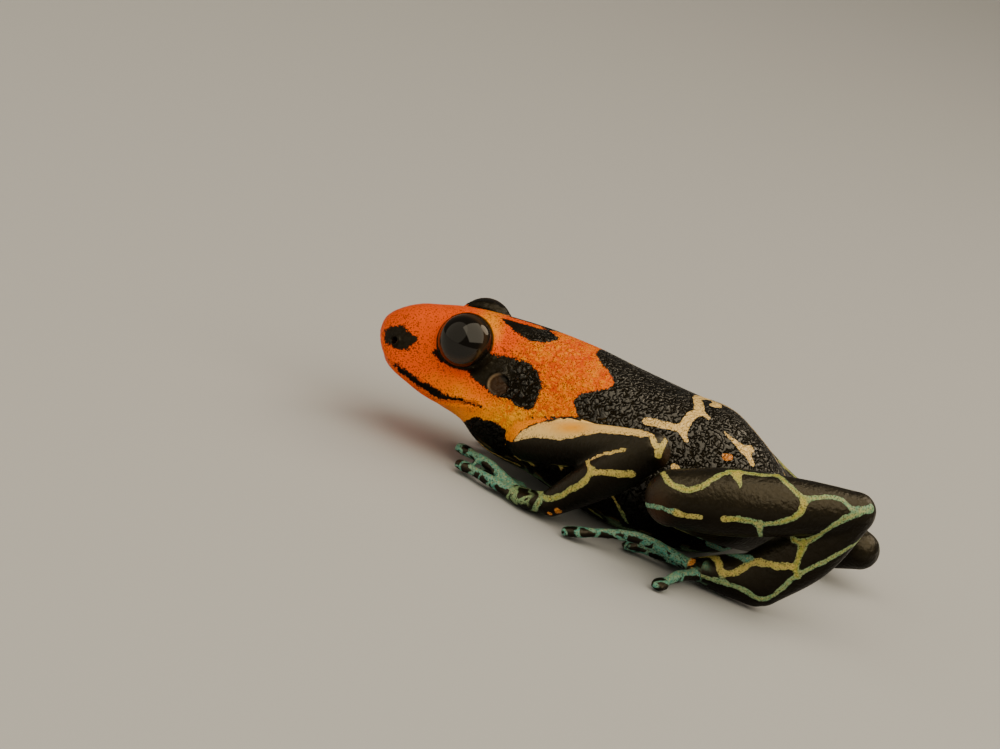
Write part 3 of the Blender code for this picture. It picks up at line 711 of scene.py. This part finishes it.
class Tracer:
    """Finds the skin's point behind a place in the photograph, on a chosen part of the left side."""

    def __init__(self, points, facing, parts):
        self.points, self.trees = points, {}
        seen = project(points)
        for part in set(parts):
            chosen = np.nonzero((parts == part) & (facing > 0.02) & (points[:, 0] > MIDDLE_REACH))[0]
            tree = KDTree(max(len(chosen), 1))
            for i in chosen:
                tree.insert((*seen[i], 0.0), int(i))
            tree.balance()
            self.trees[part] = tree

    def at(self, pixel, parts, count=4):
        found = []
        for part in parts:
            if part in self.trees:
                near = self.trees[part].find_n((*pixel, 0.0), count)
                found += [(far, i) for _, i, far in near]
        found = sorted(found)[:count]
        weight = np.array([1 / (far + 0.2) for far, _ in found])
        return (self.points[[i for _, i in found]] * weight[:, None]).sum(axis=0) / weight.sum()

    def path(self, pixels, parts):
        """The traced line on the skin as a smooth curve, with more points than were traced."""
        return np.array([self.at(p, parts) for p in path_points(pixels, even_steps(pixels))])


def store(mesh, name, values):
    attribute = mesh.attributes.new(name, "FLOAT", "POINT")
    attribute.data.foreach_set("value", np.asarray(values, dtype=np.float32))


class Nodes:
    """Short ways to wire a node tree."""

    def __init__(self, tree):
        self.tree = tree

    def add(self, kind, inputs=None, **settings):
        node = self.tree.nodes.new(kind)
        for key, value in settings.items():
            setattr(node, key, value)
        for key, value in (inputs or {}).items():
            self.set(node.inputs[key], value)
        return node

    def set(self, socket, value):
        if isinstance(value, bpy.types.NodeSocket):
            self.tree.links.new(value, socket)
        else:
            socket.default_value = value

    def math(self, operation, a, b=0.0, c=0.0, clamp=False):
        return self.add("ShaderNodeMath", {0: a, 1: b, 2: c}, operation=operation, use_clamp=clamp).outputs[0]

    def plus(self, a, b, clamp=False):
        return self.math("ADD", a, b, clamp=clamp)

    def times(self, a, b, clamp=False):
        return self.math("MULTIPLY", a, b, clamp=clamp)

    def scaled(self, a, factor, more):
        """The first times the second, plus the third."""
        return self.math("MULTIPLY_ADD", a, factor, more)

    def attribute(self, name):
        return self.add("ShaderNodeAttribute", attribute_name=name).outputs["Fac"]

    def mix(self, share, a, b):
        """A share of the colour b in the colour a."""
        return self.add("ShaderNodeMix", {0: share, 6: a, 7: b}, data_type="RGBA").outputs[2]

    def blend(self, share, a, b):
        """A share of the number b in the number a."""
        return self.add("ShaderNodeMix", {0: share, 2: a, 3: b}, data_type="FLOAT").outputs[0]

    def step(self, value, low, high):
        """0 at low and 1 at high, smooth between them."""
        inputs = {"Value": value, "From Min": low, "From Max": high}
        return self.add("ShaderNodeMapRange", inputs, interpolation_type="SMOOTHSTEP").outputs["Result"]

    def noise(self, place, scale, detail=2.0, output="Fac", **inputs):
        inputs.update({"Vector": place, "Scale": scale, "Detail": detail})
        return self.add("ShaderNodeTexNoise", inputs).outputs[output]

    def cells(self, place, scale, feature):
        inputs = {"Vector": place, "Scale": scale}
        return self.add("ShaderNodeTexVoronoi", inputs, feature=feature).outputs["Distance"]

    def vectors(self, operation, inputs):
        return self.add("ShaderNodeVectorMath", inputs, operation=operation).outputs[0]

    def warped(self, place, scale, reach):
        """The place, pushed about by noise of this scale."""
        push = self.vectors("ADD", {0: self.noise(place, scale, output="Color"), 1: (-0.5, -0.5, -0.5)})
        return self.vectors("ADD", {0: place, 1: self.vectors("SCALE", {0: push, "Scale": reach})})


def rgba(colour, share=1.0):
    return (*(c * share for c in colour), 1.0)


def new_group(name, numbers, results):
    """A shader group from a vector and some numbers to its results, with the wiring at its two ends."""
    group = bpy.data.node_groups.new(name, "ShaderNodeTree")
    group.interface.new_socket("Vector", in_out="INPUT", socket_type="NodeSocketVector")
    for number in numbers:
        group.interface.new_socket(number, in_out="INPUT", socket_type="NodeSocketFloat")
    for result in results:
        group.interface.new_socket(result, in_out="OUTPUT", socket_type="NodeSocketFloat")
    n = Nodes(group)
    return group, n, n.add("NodeGroupInput").outputs, n.add("NodeGroupOutput").inputs


def net_group():
    """A shader group: 1 on the lines of an irregular net, 0 in its cells."""
    group, n, given, result = new_group("skin_net", ("Cell", "Line"), ("Mask",))
    place = n.warped(given["Vector"], 1100.0, 0.0009)
    edge = n.cells(place, n.math("DIVIDE", 1000.0, given["Cell"]), "DISTANCE_TO_EDGE")
    line = n.math("SUBTRACT", given["Line"], n.times(edge, given["Cell"]))
    n.set(result["Mask"], n.step(line, -0.02, 0.02))
    return group


def grain_group():
    """A shader group: the height of separate granules, and 0 in the grooves of wrinkled skin."""
    group, n, given, result = new_group("skin_granules", (), ("Granules", "Wrinkles"))
    place = given["Vector"]
    edge = n.cells(n.warped(place, 2600.0, 0.00045), 3600.0, "DISTANCE_TO_EDGE")
    dome = n.step(edge, 0.0, 0.36)
    groove = n.math("ABSOLUTE", n.math("SUBTRACT", n.noise(place, 3900.0, 1.0), 0.5))
    n.set(result["Granules"], n.scaled(n.noise(place, 1500.0, 1.0), 0.8, dome))
    n.set(result["Wrinkles"], n.math("POWER", n.times(groove, 6.0, clamp=True), 0.6))
    return group


def new_material(name):
    material = bpy.data.materials.new(name)
    material.use_nodes = True
    return material, Nodes(material.node_tree), material.node_tree.nodes["Principled BSDF"]


def skin_masks(n, place):
    """Masks of the hood, the dark patches and the pale lines, their edges made ragged and wavy."""
    rag = n.math("SUBTRACT", n.noise(place, 9000.0, 3.0, Roughness=0.7), 0.5)
    wave = n.math("SUBTRACT", n.noise(place, 1800.0), 0.5)

    def mask(name, ragged, wavy, blur=0.02):
        uneven = n.scaled(rag, ragged, n.times(wave, wavy))
        return n.step(n.plus(n.attribute(name), uneven), -blur, blur)

    return mask("hood", 0.3, 0.22), mask("patch", 0.5, 0.26), mask("line", 0.12, 0.208, 0.015)


def net_mask(n, place):
    """Mask of the net on hidden skin, finer on palms and digits."""
    group = net_group()

    def net(cell, line):
        inputs = {"Vector": place, "Cell": size(cell), "Line": size(line)}
        return n.add("ShaderNodeGroup", inputs, node_tree=group).outputs["Mask"]

    wide, fine = net("net_cell", "net_line"), net("digit_cell", "digit_line")
    return n.times(n.blend(n.attribute("digit"), wide, fine), n.attribute("net"))


def skin_relief(n, place, warm_skin):
    """Height of the skin's relief, with its granules and wrinkles apart."""
    grains = n.add("ShaderNodeGroup", {"Vector": place}, node_tree=grain_group()).outputs
    folds = n.noise(place, 2300.0)
    soft = n.scaled(grains["Granules"], 0.45, n.times(folds, 1.2))
    ridges = n.scaled(grains["Wrinkles"], 0.55, n.times(folds, 0.7))
    relief = n.blend(n.attribute("pebbled"), ridges, grains["Granules"])
    raised = n.times(n.blend(warm_skin, relief, soft), n.attribute("grain"))
    return raised, grains["Granules"], grains["Wrinkles"]


def stipple_mask(n, place):
    """Fine dark dots in two sizes."""
    layers = []
    for scale, wide, strength in ((11500.0, 0.62, 0.68), (6800.0, 0.3, 0.75)):
        radius = n.times(n.noise(place, scale * 0.4), wide)
        dot = n.math("SUBTRACT", radius, n.cells(place, scale, "F1"))
        layers.append(n.times(n.step(dot, -0.1, 0.06), strength))
    return n.math("MAXIMUM", *layers)


def pale_colour(n, place):
    """The lines' colour: by tint, mottled with cream, teal at the edge of the green ones."""
    tones = colours()
    ramp = n.add("ShaderNodeValToRGB", {"Fac": n.scaled(n.attribute("tint"), 0.5, 0.5)})
    stops = ramp.color_ramp.elements
    stops[0].position, stops[0].color = 0.2, rgba(tones.spot)
    stops[1].position, stops[1].color = 1.0, rgba(tones.teal)
    for position, colour in ((0.4, tones.cream), (0.55, tones.cream), (0.75, tones.green)):
        stops.new(position).color = rgba(colour)
    mottle = n.times(n.step(n.noise(place, 9000.0), 0.35, 0.75), 0.35)
    pale = n.mix(mottle, ramp.outputs["Color"], rgba(tones.cream))
    fringe = n.times(n.step(n.attribute("line"), 0.11, 0.02), n.step(n.attribute("tint"), 0.3, 0.55))
    pale = n.mix(n.times(fringe, 0.4), pale, rgba(tones.teal))
    return n.mix(n.attribute("blush"), pale, rgba(tones.yellow))


def hood_colour(n, place, raised, stipple):
    """The hood's colour: yellower where warm, painted highlight on raised places, painted redder shade in
    hollows, brown dots.
    """
    tones = colours()
    warmth = n.scaled(n.noise(place, 700.0, 3.0), 0.7, -0.35)
    warmth_and_highlight = n.plus(n.attribute("warm"), warmth, clamp=True)
    # Painted highlight: raised granules turn yellower.
    warmth_and_highlight = n.plus(warmth_and_highlight, n.scaled(raised, 0.9, -0.38), clamp=True)
    orange = n.mix(warmth_and_highlight, rgba(tones.orange), rgba(tones.yellow))
    # Painted shade: the hollows between granules turn a darker red.
    hollow = n.times(n.step(raised, 0.75, 0.35), n.step(n.attribute("grain"), 0.3, 0.7))
    groove_shade_colour = (tones.orange[0] * 0.6, tones.orange[1] * 0.35, 0.0, 1.0)
    orange = n.mix(n.times(hollow, 0.6), orange, groove_shade_colour)
    return n.mix(n.times(n.attribute("stipple"), stipple), orange, rgba(tones.orange, 0.12))


def skin_colour(n, place, masks, raised, sheen):
    """The whole skin's colour, from the ground up."""
    tones = colours()
    hood, patch, line = masks
    stipple = stipple_mask(n, place)
    ground = n.mix(n.step(sheen, 0.35, 0.75), rgba(tones.black), rgba(tones.black, 2.2))
    ground = n.mix(n.attribute("ruddy"), ground, rgba(tones.eardrum))
    colour = n.mix(line, ground, pale_colour(n, place))
    line_edge = n.times(line, n.step(n.attribute("line"), 0.3, 0.02))
    colour = n.mix(n.times(line_edge, n.times(stipple, 1.2, clamp=True)), colour, ground)
    colour = n.mix(hood, colour, hood_colour(n, place, raised, stipple))
    colour = n.mix(patch, colour, ground)
    colour = n.mix(n.attribute("drum"), colour, rgba(tones.eardrum))
    colour = n.mix(n.times(n.attribute("crescent"), 0.5), colour, rgba(tones.rim))
    # Painted shade: the mouth line, the nostrils and the gap round each eyeball are darkened.
    return n.mix(n.attribute("crease_shade"), colour, rgba(tones.black, 0.5))


def skin_material():
    """Glossy skin: orange hood, black ground, pale lines and net, all from the skin's own attributes."""
    material, n, shader = new_material("frog_skin")
    inputs = shader.inputs
    place = n.add("ShaderNodeTexCoord").outputs["Object"]
    hood, patch, line = skin_masks(n, place)
    line = n.math("MAXIMUM", line, net_mask(n, place))
    warm_skin = n.times(hood, n.math("SUBTRACT", 1.0, patch))
    raised, granules, wrinkles = skin_relief(n, place, warm_skin)
    sheen = n.noise(place, 900.0, 3.0)
    n.set(inputs["Base Color"], skin_colour(n, place, (hood, patch, line), raised, sheen))

    upper, grain = n.attribute("upper"), n.attribute("grain")
    n.set(inputs["Roughness"], n.blend(warm_skin, n.scaled(sheen, 0.25, 0.3), 0.42))
    shine = n.times(upper, n.blend(grain, n.blend(patch, 0.4, 0.18), 0.1))
    n.set(inputs["Specular IOR Level"], n.blend(warm_skin, shine, 0.35))
    n.set(inputs["Specular Tint"], n.mix(warm_skin, (1.0, 0.82, 0.48, 1.0), (1.0, 0.45, 0.05, 1.0)))
    tops = n.blend(n.attribute("pebbled"), n.step(wrinkles, 0.3, 0.8), n.step(granules, 0.45, 1.1))
    gloss = n.times(upper, n.blend(grain, n.blend(patch, 0.2, 0.06), tops))
    n.set(inputs["Coat Weight"], n.blend(warm_skin, gloss, 0.0))
    inputs["Coat Roughness"].default_value = 0.24
    inputs["Coat IOR"].default_value = 1.55

    pebbles = n.times(n.cells(place, 5200.0, "SMOOTH_F1"), -0.26)
    finer = n.scaled(n.noise(place, 9500.0), 0.14, pebbles)
    height = n.scaled(finer, n.math("SUBTRACT", 1.1, grain), raised)
    height = n.scaled(line, 0.12, height)
    bump = n.add("ShaderNodeBump", {"Height": height, "Strength": 1.0, "Distance": 0.00011}).outputs["Normal"]
    n.set(inputs["Normal"], bump)
    n.set(inputs["Coat Normal"], bump)
    return material


def eye_material():
    """A black, wet eye with the faintest brown ring."""
    tones = colours()
    material, n, shader = new_material("frog_eye")
    n.set(shader.inputs["Base Color"], n.mix(n.attribute("iris"), rgba(tones.eye), rgba(tones.iris)))
    shader.inputs["Roughness"].default_value = 0.06
    shader.inputs["IOR"].default_value = 1.42
    return material


def floor_material():
    material, _, shader = new_material("floor")
    shader.inputs["Base Color"].default_value = rgba(colours().floor)
    shader.inputs["Roughness"].default_value = 0.8
    shader.inputs["Specular IOR Level"].default_value = 0.2
    return material


def mouth_path():
    """The line where the lips meet, from the left corner round the snout to the right corner."""
    front = SNOUT_Y
    while section(np.array([front]))[1][0] > MOUTH_LINE[0][1]:
        front += 0.01
    t = np.sin(math.pi / 2 * np.linspace(0, 1, 25)[:-1])
    stations = MOUTH_LINE[-1][0] + (front - MOUTH_LINE[-1][0]) * t
    left = [body_side(y, float(curve(MOUTH_LINE, [y])[0])) for y in stations]
    right = [mirrored(p, RIGHT) for p in reversed(left)]
    return np.array(left + [np.array([0.0, front, MOUTH_LINE[0][1]])] + right)


def from_mouth(points):
    return to_segments(points, mouth_path())[0]


def from_nostril(points):
    return distance(to_left(points), body_side(NOSTRIL[1], NOSTRIL[2]))


def from_eardrum(points):
    return distance(to_left(points), body_side(EARDRUM[1], EARDRUM[2]))


def near_features(points, reach):
    """Which points are close to the mouth, lids, nostrils or eardrums."""
    looks = unit(np.array(EYE_LOOKS))
    rel = to_left(points) - np.array(EYE_CENTRE)
    along = rel @ looks
    lid = np.hypot(np.linalg.norm(rel - along[:, None] * looks, axis=1) - LID_RADIUS, along - LID_RISE)
    drum = np.abs(from_eardrum(points) - EARDRUM_RADIUS) / 0.7
    return np.minimum.reduce([from_mouth(points), lid, from_nostril(points), drum]) < reach


def shape_features(points, normals):
    """Presses the mouth and nostrils in, and raises lips and the rims of nostrils and eardrums."""
    far, nose, drum = from_mouth(points), from_nostril(points), from_eardrum(points)
    above = points[:, 2] - curve(MOUTH_LINE, points[:, 1])
    push = size("lip_height") * swell(far, 0.2, 0.16) * np.where(above > 0, 1.0, 0.7)
    push -= size("mouth_depth") * swell(far, 0.0, 0.075)
    push += size("nostril_rim") * swell(nose, 0.22, 0.09)
    push -= size("nostril_depth") * np.exp(-((nose / size("nostril_radius")) ** 4))
    push += size("eardrum_rim") * (swell(drum, EARDRUM_RADIUS + 0.05, 0.09) - smoothstep(0.56, 0.44, drum))
    return points + normals * push[:, None]


def outside_body(points):
    """About how far the points lie outside head and trunk, in millimetres."""
    x, y, z = points.T
    top, bottom, widest, width, taper, squareness = section(y)
    rise = (z - widest) / np.where(z > widest, top - widest, widest - bottom)
    above = rise > 0
    power = np.where(above, squareness, BELLY_SQUARENESS)
    side = np.abs(x) / (width * np.where(above, 1 - taper * np.clip(rise, 0, 1), 1))
    far = ((side**power + np.abs(rise) ** power) ** (1 / power) - 1) * np.minimum(width, 2.5)
    return np.maximum(far, np.maximum(y - VENT_Y, 0) + np.maximum(SNOUT_Y - y, 0))


def classify(points, limbs):
    """Each point's part, its place along that part, its twin on the left side and the way out of the part."""
    count = len(points)
    best = outside_body(points)
    parts = np.full(count, "body", dtype=object)
    share = np.zeros(count)
    twin = to_left(points)
    out = np.zeros((count, 3))
    for left, right in limbs:
        for limb in (left, right):
            room = limb.half.max() * 1.3
            inside = (points > limb.middle.min(axis=0) - room) & (points < limb.middle.max(axis=0) + room)
            near = np.nonzero(inside.all(axis=1))[0]
            if not len(near):
                continue
            t, a, b, e, far = limb.locate(points[near])
            closer = far - (UPPER_ARM_LEAD if limb.part == "upper_arm" else 0.0) < best[near]
            chosen = near[closer]
            best[chosen] = far[closer]
            parts[chosen] = limb.part
            share[chosen] = t[closer]
            twin[chosen], out[chosen] = left.place(t[closer], a[closer] * limb.side, b[closer], e[closer])
    return parts, share, twin, out


class Pattern:
    """The skin's pattern: values at each point, most of them depths inside a mark, in millimetres."""

    def __init__(self, points, normals, limbs):
        self.points, self.normals = points, normals
        self.parts, self.share, self.twin, out = classify(points, limbs)
        self.body = self.parts == "body"
        self.webbed = np.isin(self.parts, WEBBED)
        _, _, forward, _ = view_axes()
        mirrored_normals = normals.copy()
        mirrored_normals[:, 0] *= np.sign(points[:, 0])
        self.facing = np.where(self.body[:, None], mirrored_normals, out) @ -forward
        on_left = points[:, 0] > MIDDLE_REACH
        seen = np.where(on_left, normals @ -forward, -1)
        self.tracer = Tracer(np.where(on_left[:, None], points, self.twin), seen, self.parts)
        self.pixels = project(self.twin)
        self.flat = unrolled(self.twin)
        self.line = np.full(len(points), OUTSIDE)
        self.tint = np.full(len(points), 0.5)
        self.lay_lines()
        self.lay_band_and_hood()
        self.lay_patches()
        self.lay_net()

    def seen_through(self, outline, where):
        """Depth inside an outline traced in the photograph, for the points where it is laid."""
        ring = [*outline, outline[0]]
        depth = inside_of(self.pixels, path_points(ring, even_steps(ring))) / PIXELS_PER_MM
        return np.where(where, depth, OUTSIDE)

    def add_line(self, chosen, depth, tint):
        """Adds one pale line to the chosen points, with its tint where it is the deepest so far."""
        better = depth > self.line[chosen]
        self.tint[chosen[better]] = np.broadcast_to(tint, len(chosen))[better]
        self.line[chosen] = melted(self.line[chosen], depth)

    def lay_lines(self):
        """The pale lines, each on its own parts of both sides, and those of the right side alone."""
        for names, lines in LINES.items():
            chosen = np.nonzero(np.isin(self.parts, names))[0]
            for wide, wide_end, tint, tint_end, traced in lines:
                path = self.tracer.path(traced, names)
                far, along = to_segments(self.twin[chosen], path, np.linspace(0, 1, len(path)))
                width = wide + (wide_end - wide) * along
                self.add_line(chosen, width / 2 - far, tint + (tint_end - tint) * along)
        chosen = np.nonzero(self.body & (self.points[:, 0] < 0))[0]
        for wide, places in LONE_LINES:
            far, _ = to_segments(self.flat[chosen], path_points(places, np.linspace(0, 1, 40)))
            self.add_line(chosen, wide / 2 - far, 0.0)

    def lay_band_and_hood(self):
        """The pale band along the upper arm, and the orange hood with its end on the arm above the band."""
        on_arm = self.parts == "upper_arm"
        band = self.seen_through(ARM_BAND, on_arm)
        self.tint[band > self.line] = 0.0
        self.line = np.maximum(self.line, band)
        edge = unrolled(self.tracer.path(HOOD_EDGE, ("body",)))
        edge[0, 1] = 6.0
        start, end = edge[0, 0], edge[-1, 0]
        top, under, ahead = 6.5, -6.0, -21.0
        closing = [(end - 0.6, under / 2), (end - 1.4, under), (ahead, under), (ahead, top), (start, top)]
        hood = np.where(self.body, inside_of(self.flat, np.vstack([edge, closing])), OUTSIDE)
        self.hood = np.maximum(hood, np.minimum(self.seen_through(SHOULDER_HOOD, on_arm), -0.04 - band))

    def lay_patches(self):
        """The black patches of nose, eyes, ears and nape, and the mark along the lip."""
        seen = self.body & (self.facing > 0.05)
        marks = [self.seen_through(outline, seen) for outline in (NOSE_PATCH, EYE_CORNER, EAR_PATCH)]
        nape = unrolled(self.tracer.path([*NAPE_PATCH, NAPE_PATCH[0]], ("body",)))
        marks.append(np.where(self.body, inside_of(self.flat, nape), OUTSIDE))
        lip = self.tracer.path(LIP_MARK, ("body",))
        widths = np.interp(even_steps(LIP_MARK) * (len(LIP_MARK) - 1), np.arange(len(LIP_WIDTHS)), LIP_WIDTHS)
        far, wide = to_segments(self.twin, lip, widths)
        marks.append(np.where(self.body, wide - far, OUTSIDE))
        marks.append(LID_TOP_RADIUS - distance(self.points, mirrored(LID_TOP, RIGHT)))
        self.patch = np.maximum.reduce(marks)

    def lay_net(self):
        """The net of the belly and the legs' hidden sides, and the pale stripe on each digit."""
        belly = smoothstep(0.7, 0.9, -self.normals[:, 2]) * smoothstep(-12.5, -11.0, self.points[:, 1])
        unseen = smoothstep(0.12, -0.1, self.facing)
        to_toes = np.where(self.parts == "instep", smoothstep(0.65, 0.85, self.share), 0.0)
        net = np.where(self.body, belly, np.where(self.webbed, 1.0, np.maximum(unseen, to_toes)))
        near_line = self.line > -0.12
        self.tint = np.where(near_line, self.tint, [NET_TINTS[part] for part in self.parts])
        self.tint[self.body & (belly < 0.2) & ~near_line] = 0.0
        heel = distance(self.points, mirrored(HEEL[RIGHT], RIGHT))
        self.net = net * smoothstep(-0.15, -0.45, self.line) * smoothstep(1.5, 1.9, heel)
        stripe = (self.normals[:, 2] - 0.42 - 1.6 * smoothstep(0.8, 0.95, self.share)) * 0.28
        self.line = np.where(self.parts == "digit", np.maximum(self.line, stripe), self.line)

    def near_spot(self, spot, part):
        """1 in the middle of a soft spot on this part, fading out beyond its reach."""
        middle, reach = spot
        far = np.linalg.norm((self.pixels - middle) / reach, axis=1)
        return swell(far, 0.0, 1.0) * (self.parts == part)

    def relief(self):
        """How grainy, how pebbled and how much turned to the light the skin is."""
        y = self.points[:, 1]
        pebbled = smoothstep(-0.05, 0.1, self.patch) * smoothstep(-11.75, -11.45, y) * self.body
        granular = np.maximum(smoothstep(0.05, -0.15, self.hood), pebbled)
        grain = np.where(self.body, np.maximum(0.12 + 0.6 * smoothstep(-12.6, -11.0, y), granular), 0.14)
        grain[np.isin(self.parts, ("shank", "forearm", "thigh"))] = 0.1
        upper = 0.2 + 0.8 * smoothstep(-0.35, 0.5, self.normals[:, 2])
        return {"grain": grain, "pebbled": pebbled, "upper": np.maximum(upper, pebbled)}

    def tinges(self):
        """Yellow of jaw and arm, brown of knee and elbow, and how strongly the hood is stippled."""
        _, y, z = self.points.T
        jaw = smoothstep(-17.5, -12.0, y) * smoothstep(5.0, 3.4, z)
        warm = 0.1 + 0.75 * jaw + 1.2 * self.near_spot(GOLD_BEHIND_EYE, "body")
        lower = smoothstep(5.2, 3.6, z) * smoothstep(-15.5, -13.5, y)
        stipple = 1.0 - 0.45 * lower + 0.5 * smoothstep(-0.5, -0.1, self.patch)
        ruddy = np.maximum(self.near_spot(BROWN_KNEE, "shank"), self.near_spot(BROWN_ELBOW, "forearm"))
        return {"warm": np.clip(warm, 0, 1), "stipple": np.clip(stipple, 0, 1.3), "ruddy": ruddy,
                "blush": 0.9 * self.near_spot(BAND_BLUSH, "upper_arm")}

    def ear_and_crease_shade(self):
        """The eardrum with its pale front edge, and painted shade in the creases of mouth, nostrils and eye
        sockets.
        """
        far = from_eardrum(self.twin)
        _, back, up = (self.twin - EARDRUM).T
        front = swell(far, EARDRUM_RADIUS, 0.05) * smoothstep(0.1, 0.4, up * 0.3 - back * 0.9)
        drum = smoothstep(EARDRUM_RADIUS + 0.04, EARDRUM_RADIUS - 0.04, far)
        drum = drum * smoothstep(0.36, 0.2, up + back * 0.5)
        ball = size("eye_radius")
        # Painted shade: the gap round the eyeball, the mouth line and the nostrils are darkened.
        rim = smoothstep(ball + 0.13, ball + 0.05, distance(to_left(self.points), EYE_CENTRE))
        mouth = smoothstep(0.07, 0.02, from_mouth(self.points))
        nose = smoothstep(0.15, 0.06, from_nostril(self.twin))
        return {"crescent": front, "drum": drum, "crease_shade": np.maximum.reduce([rim, mouth, nose])}

    def values(self):
        """Every value that the material reads, by name."""
        return {"hood": self.hood, "patch": self.patch, "line": self.line, "tint": self.tint, "net": self.net,
                "digit": self.webbed, **self.relief(), **self.tinges(), **self.ear_and_crease_shade()}


def body_stations():
    """Places along the body for its rings, closer together at both ends."""
    even = np.linspace(-1, 1, BODY_RINGS)
    crowded = -np.cos(np.linspace(0, math.pi, BODY_RINGS))
    middle, reach = (SNOUT_Y + VENT_Y) / 2, (VENT_Y - SNOUT_Y) / 2 - 0.01
    return middle + reach * (0.55 * even + 0.45 * crowded)


def skin_mesh(limbs):
    """Body, eyelids and limbs, fused into one mesh, melted, and made finer near the small features."""
    bm = bmesh.new()
    add_rings(bm, body_rings(body_stations(), 144))
    for side in (LEFT, RIGHT):
        add_rings(bm, eyelid_rings(side))
    for limb in limbs:
        add_rings(bm, limb.rings())
    mesh = fuse(bm, size("grain"))
    bm.free()
    melt(mesh, sizes().melt)
    for reach in FEATURE_REACHES:
        refine(mesh, reach)
    melt(mesh, 2)
    points = shape_features(points_of(mesh), normals_of(mesh))
    points[:, 2] = np.maximum(points[:, 2], 0.0)
    set_points(mesh, points)
    return mesh


class FROG_OT_skin(bpy.types.Operator):
    """Build the frog's whole skin, with its pattern"""

    bl_idname = "frog.skin"
    bl_label = "Skin"

    def execute(self, context):
        left, right = make_limbs(LEFT), make_limbs(RIGHT)
        mesh = skin_mesh(left + right)
        points = points_of(mesh)
        pattern = Pattern(points, normals_of(mesh), list(zip(left, right)))
        for name, values in pattern.values().items():
            store(mesh, name, values)
        set_points(mesh, (points + origin()) * MM)
        mesh.materials.clear()
        mesh.materials.append(skin_material())
        mesh.shade_smooth()
        mesh.name = "skin"
        obj = link("skin", mesh)
        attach(obj, "root")
        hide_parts(*[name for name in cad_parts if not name.endswith("_eye")])
        return {"FINISHED"}


class FROG_OT_eyes(bpy.types.Operator):
    """Set the two eyeballs in their sockets"""

    bl_idname = "frog.eyes"
    bl_label = "Eyes"

    def execute(self, context):
        material = eye_material()
        for side, name in ((LEFT, "left_eye"), (RIGHT, "right_eye")):
            looks = unit(mirrored(EYE_LOOKS, side))
            turn = Vector(looks).to_track_quat("Z", "Y").to_matrix().to_4x4()
            middle = (mirrored(EYE_CENTRE, side) + origin()) * MM
            bm = bmesh.new()
            bmesh.ops.create_uvsphere(bm, u_segments=72, v_segments=48, radius=sizes().eye_radius)
            bmesh.ops.transform(bm, matrix=Matrix.Translation(middle) @ turn, verts=bm.verts)
            mesh = bpy.data.meshes.new(name + "ball")
            bm.to_mesh(mesh)
            bm.free()
            angle = np.arccos(np.clip(unit(points_of(mesh) - middle) @ looks, -1, 1))
            store(mesh, "iris", swell(angle, 1.02, 0.13))
            mesh.materials.append(material)
            mesh.shade_smooth()
            ball = link(name + "ball", mesh)
            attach(ball, "root")
            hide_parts(name)
        return {"FINISHED"}


def turned(obj, rotation):
    obj.rotation_mode = "QUATERNION"
    obj.rotation_quaternion = rotation


def add_light(name, place, aim_height, shape, power, colour):
    light = bpy.data.lights.new(name, "AREA")
    light.shape, light.size, light.size_y = shape
    light.energy = power
    light.color = colour
    obj = link(name, light)
    obj.location = place
    turned(obj, (Vector((0.0, 0.0, aim_height)) - Vector(place)).to_track_quat("-Z", "Y"))


def add_camera():
    """The photo's camera."""
    right, up, forward, place = view_axes()
    data = bpy.data.cameras.new("photo_camera")
    data.sensor_width = SENSOR_WIDTH
    data.lens = FOCUS * SENSOR_WIDTH / PICTURE[0]
    data.clip_start, data.clip_end = 0.005, 10.0
    camera = link("photo_camera", data)
    camera.location = (place + origin()) * MM
    turned(camera, Matrix([[right[i], up[i], -forward[i]] for i in range(3)]).to_quaternion())
    bpy.context.scene.camera = camera


def add_floor():
    bm = bmesh.new()
    bmesh.ops.create_grid(bm, x_segments=1, y_segments=1, size=sizes().floor_reach)
    mesh = bpy.data.meshes.new("floor")
    bm.to_mesh(mesh)
    bm.free()
    mesh.materials.append(floor_material())
    link("floor", mesh)


class FROG_OT_stage(bpy.types.Operator):
    """Lay the floor, hang the lights and set the photo's camera"""

    bl_idname = "frog.stage"
    bl_label = "Stage"

    def execute(self, context):
        add_floor()
        world = bpy.data.worlds.new("studio")
        world.use_nodes = True
        background = world.node_tree.nodes["Background"]
        background.inputs["Color"].default_value = rgba(SKY_COLOUR)
        background.inputs["Strength"].default_value = SKY_STRENGTH
        context.scene.world = world
        for light in LIGHTS:
            add_light(*light)
        add_camera()
        return {"FINISHED"}


class FROG_PT_panel(bpy.types.Panel):
    """Lists the pieces and their sizes and colours"""

    bl_idname = "FROG_PT_panel"
    bl_label = "Frog"
    bl_space_type = "VIEW_3D"
    bl_region_type = "UI"
    bl_category = "Frog"

    def draw(self, context):
        column = self.layout.column()
        for operator in OPERATORS:
            column.operator(operator.bl_idname)
        for group in (context.scene.frog_sizes, context.scene.frog_colours):
            for name in group.__annotations__:
                column.prop(group, name)


OPERATORS = (FROG_OT_skin, FROG_OT_eyes, FROG_OT_stage)
CLASSES = (FrogSizes, FrogColours, *OPERATORS, FROG_PT_panel)


def register():
    for cls in CLASSES:
        bpy.utils.register_class(cls)
    bpy.types.Scene.frog_sizes = bpy.props.PointerProperty(type=FrogSizes)
    bpy.types.Scene.frog_colours = bpy.props.PointerProperty(type=FrogColours)


def unregister():
    del bpy.types.Scene.frog_colours
    del bpy.types.Scene.frog_sizes
    for cls in reversed(CLASSES):
        bpy.utils.unregister_class(cls)


def main():
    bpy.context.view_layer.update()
    register()
    bpy.ops.frog.skin()
    bpy.ops.frog.eyes()
    bpy.ops.frog.stage()


if __name__ == "__main__":
    main()
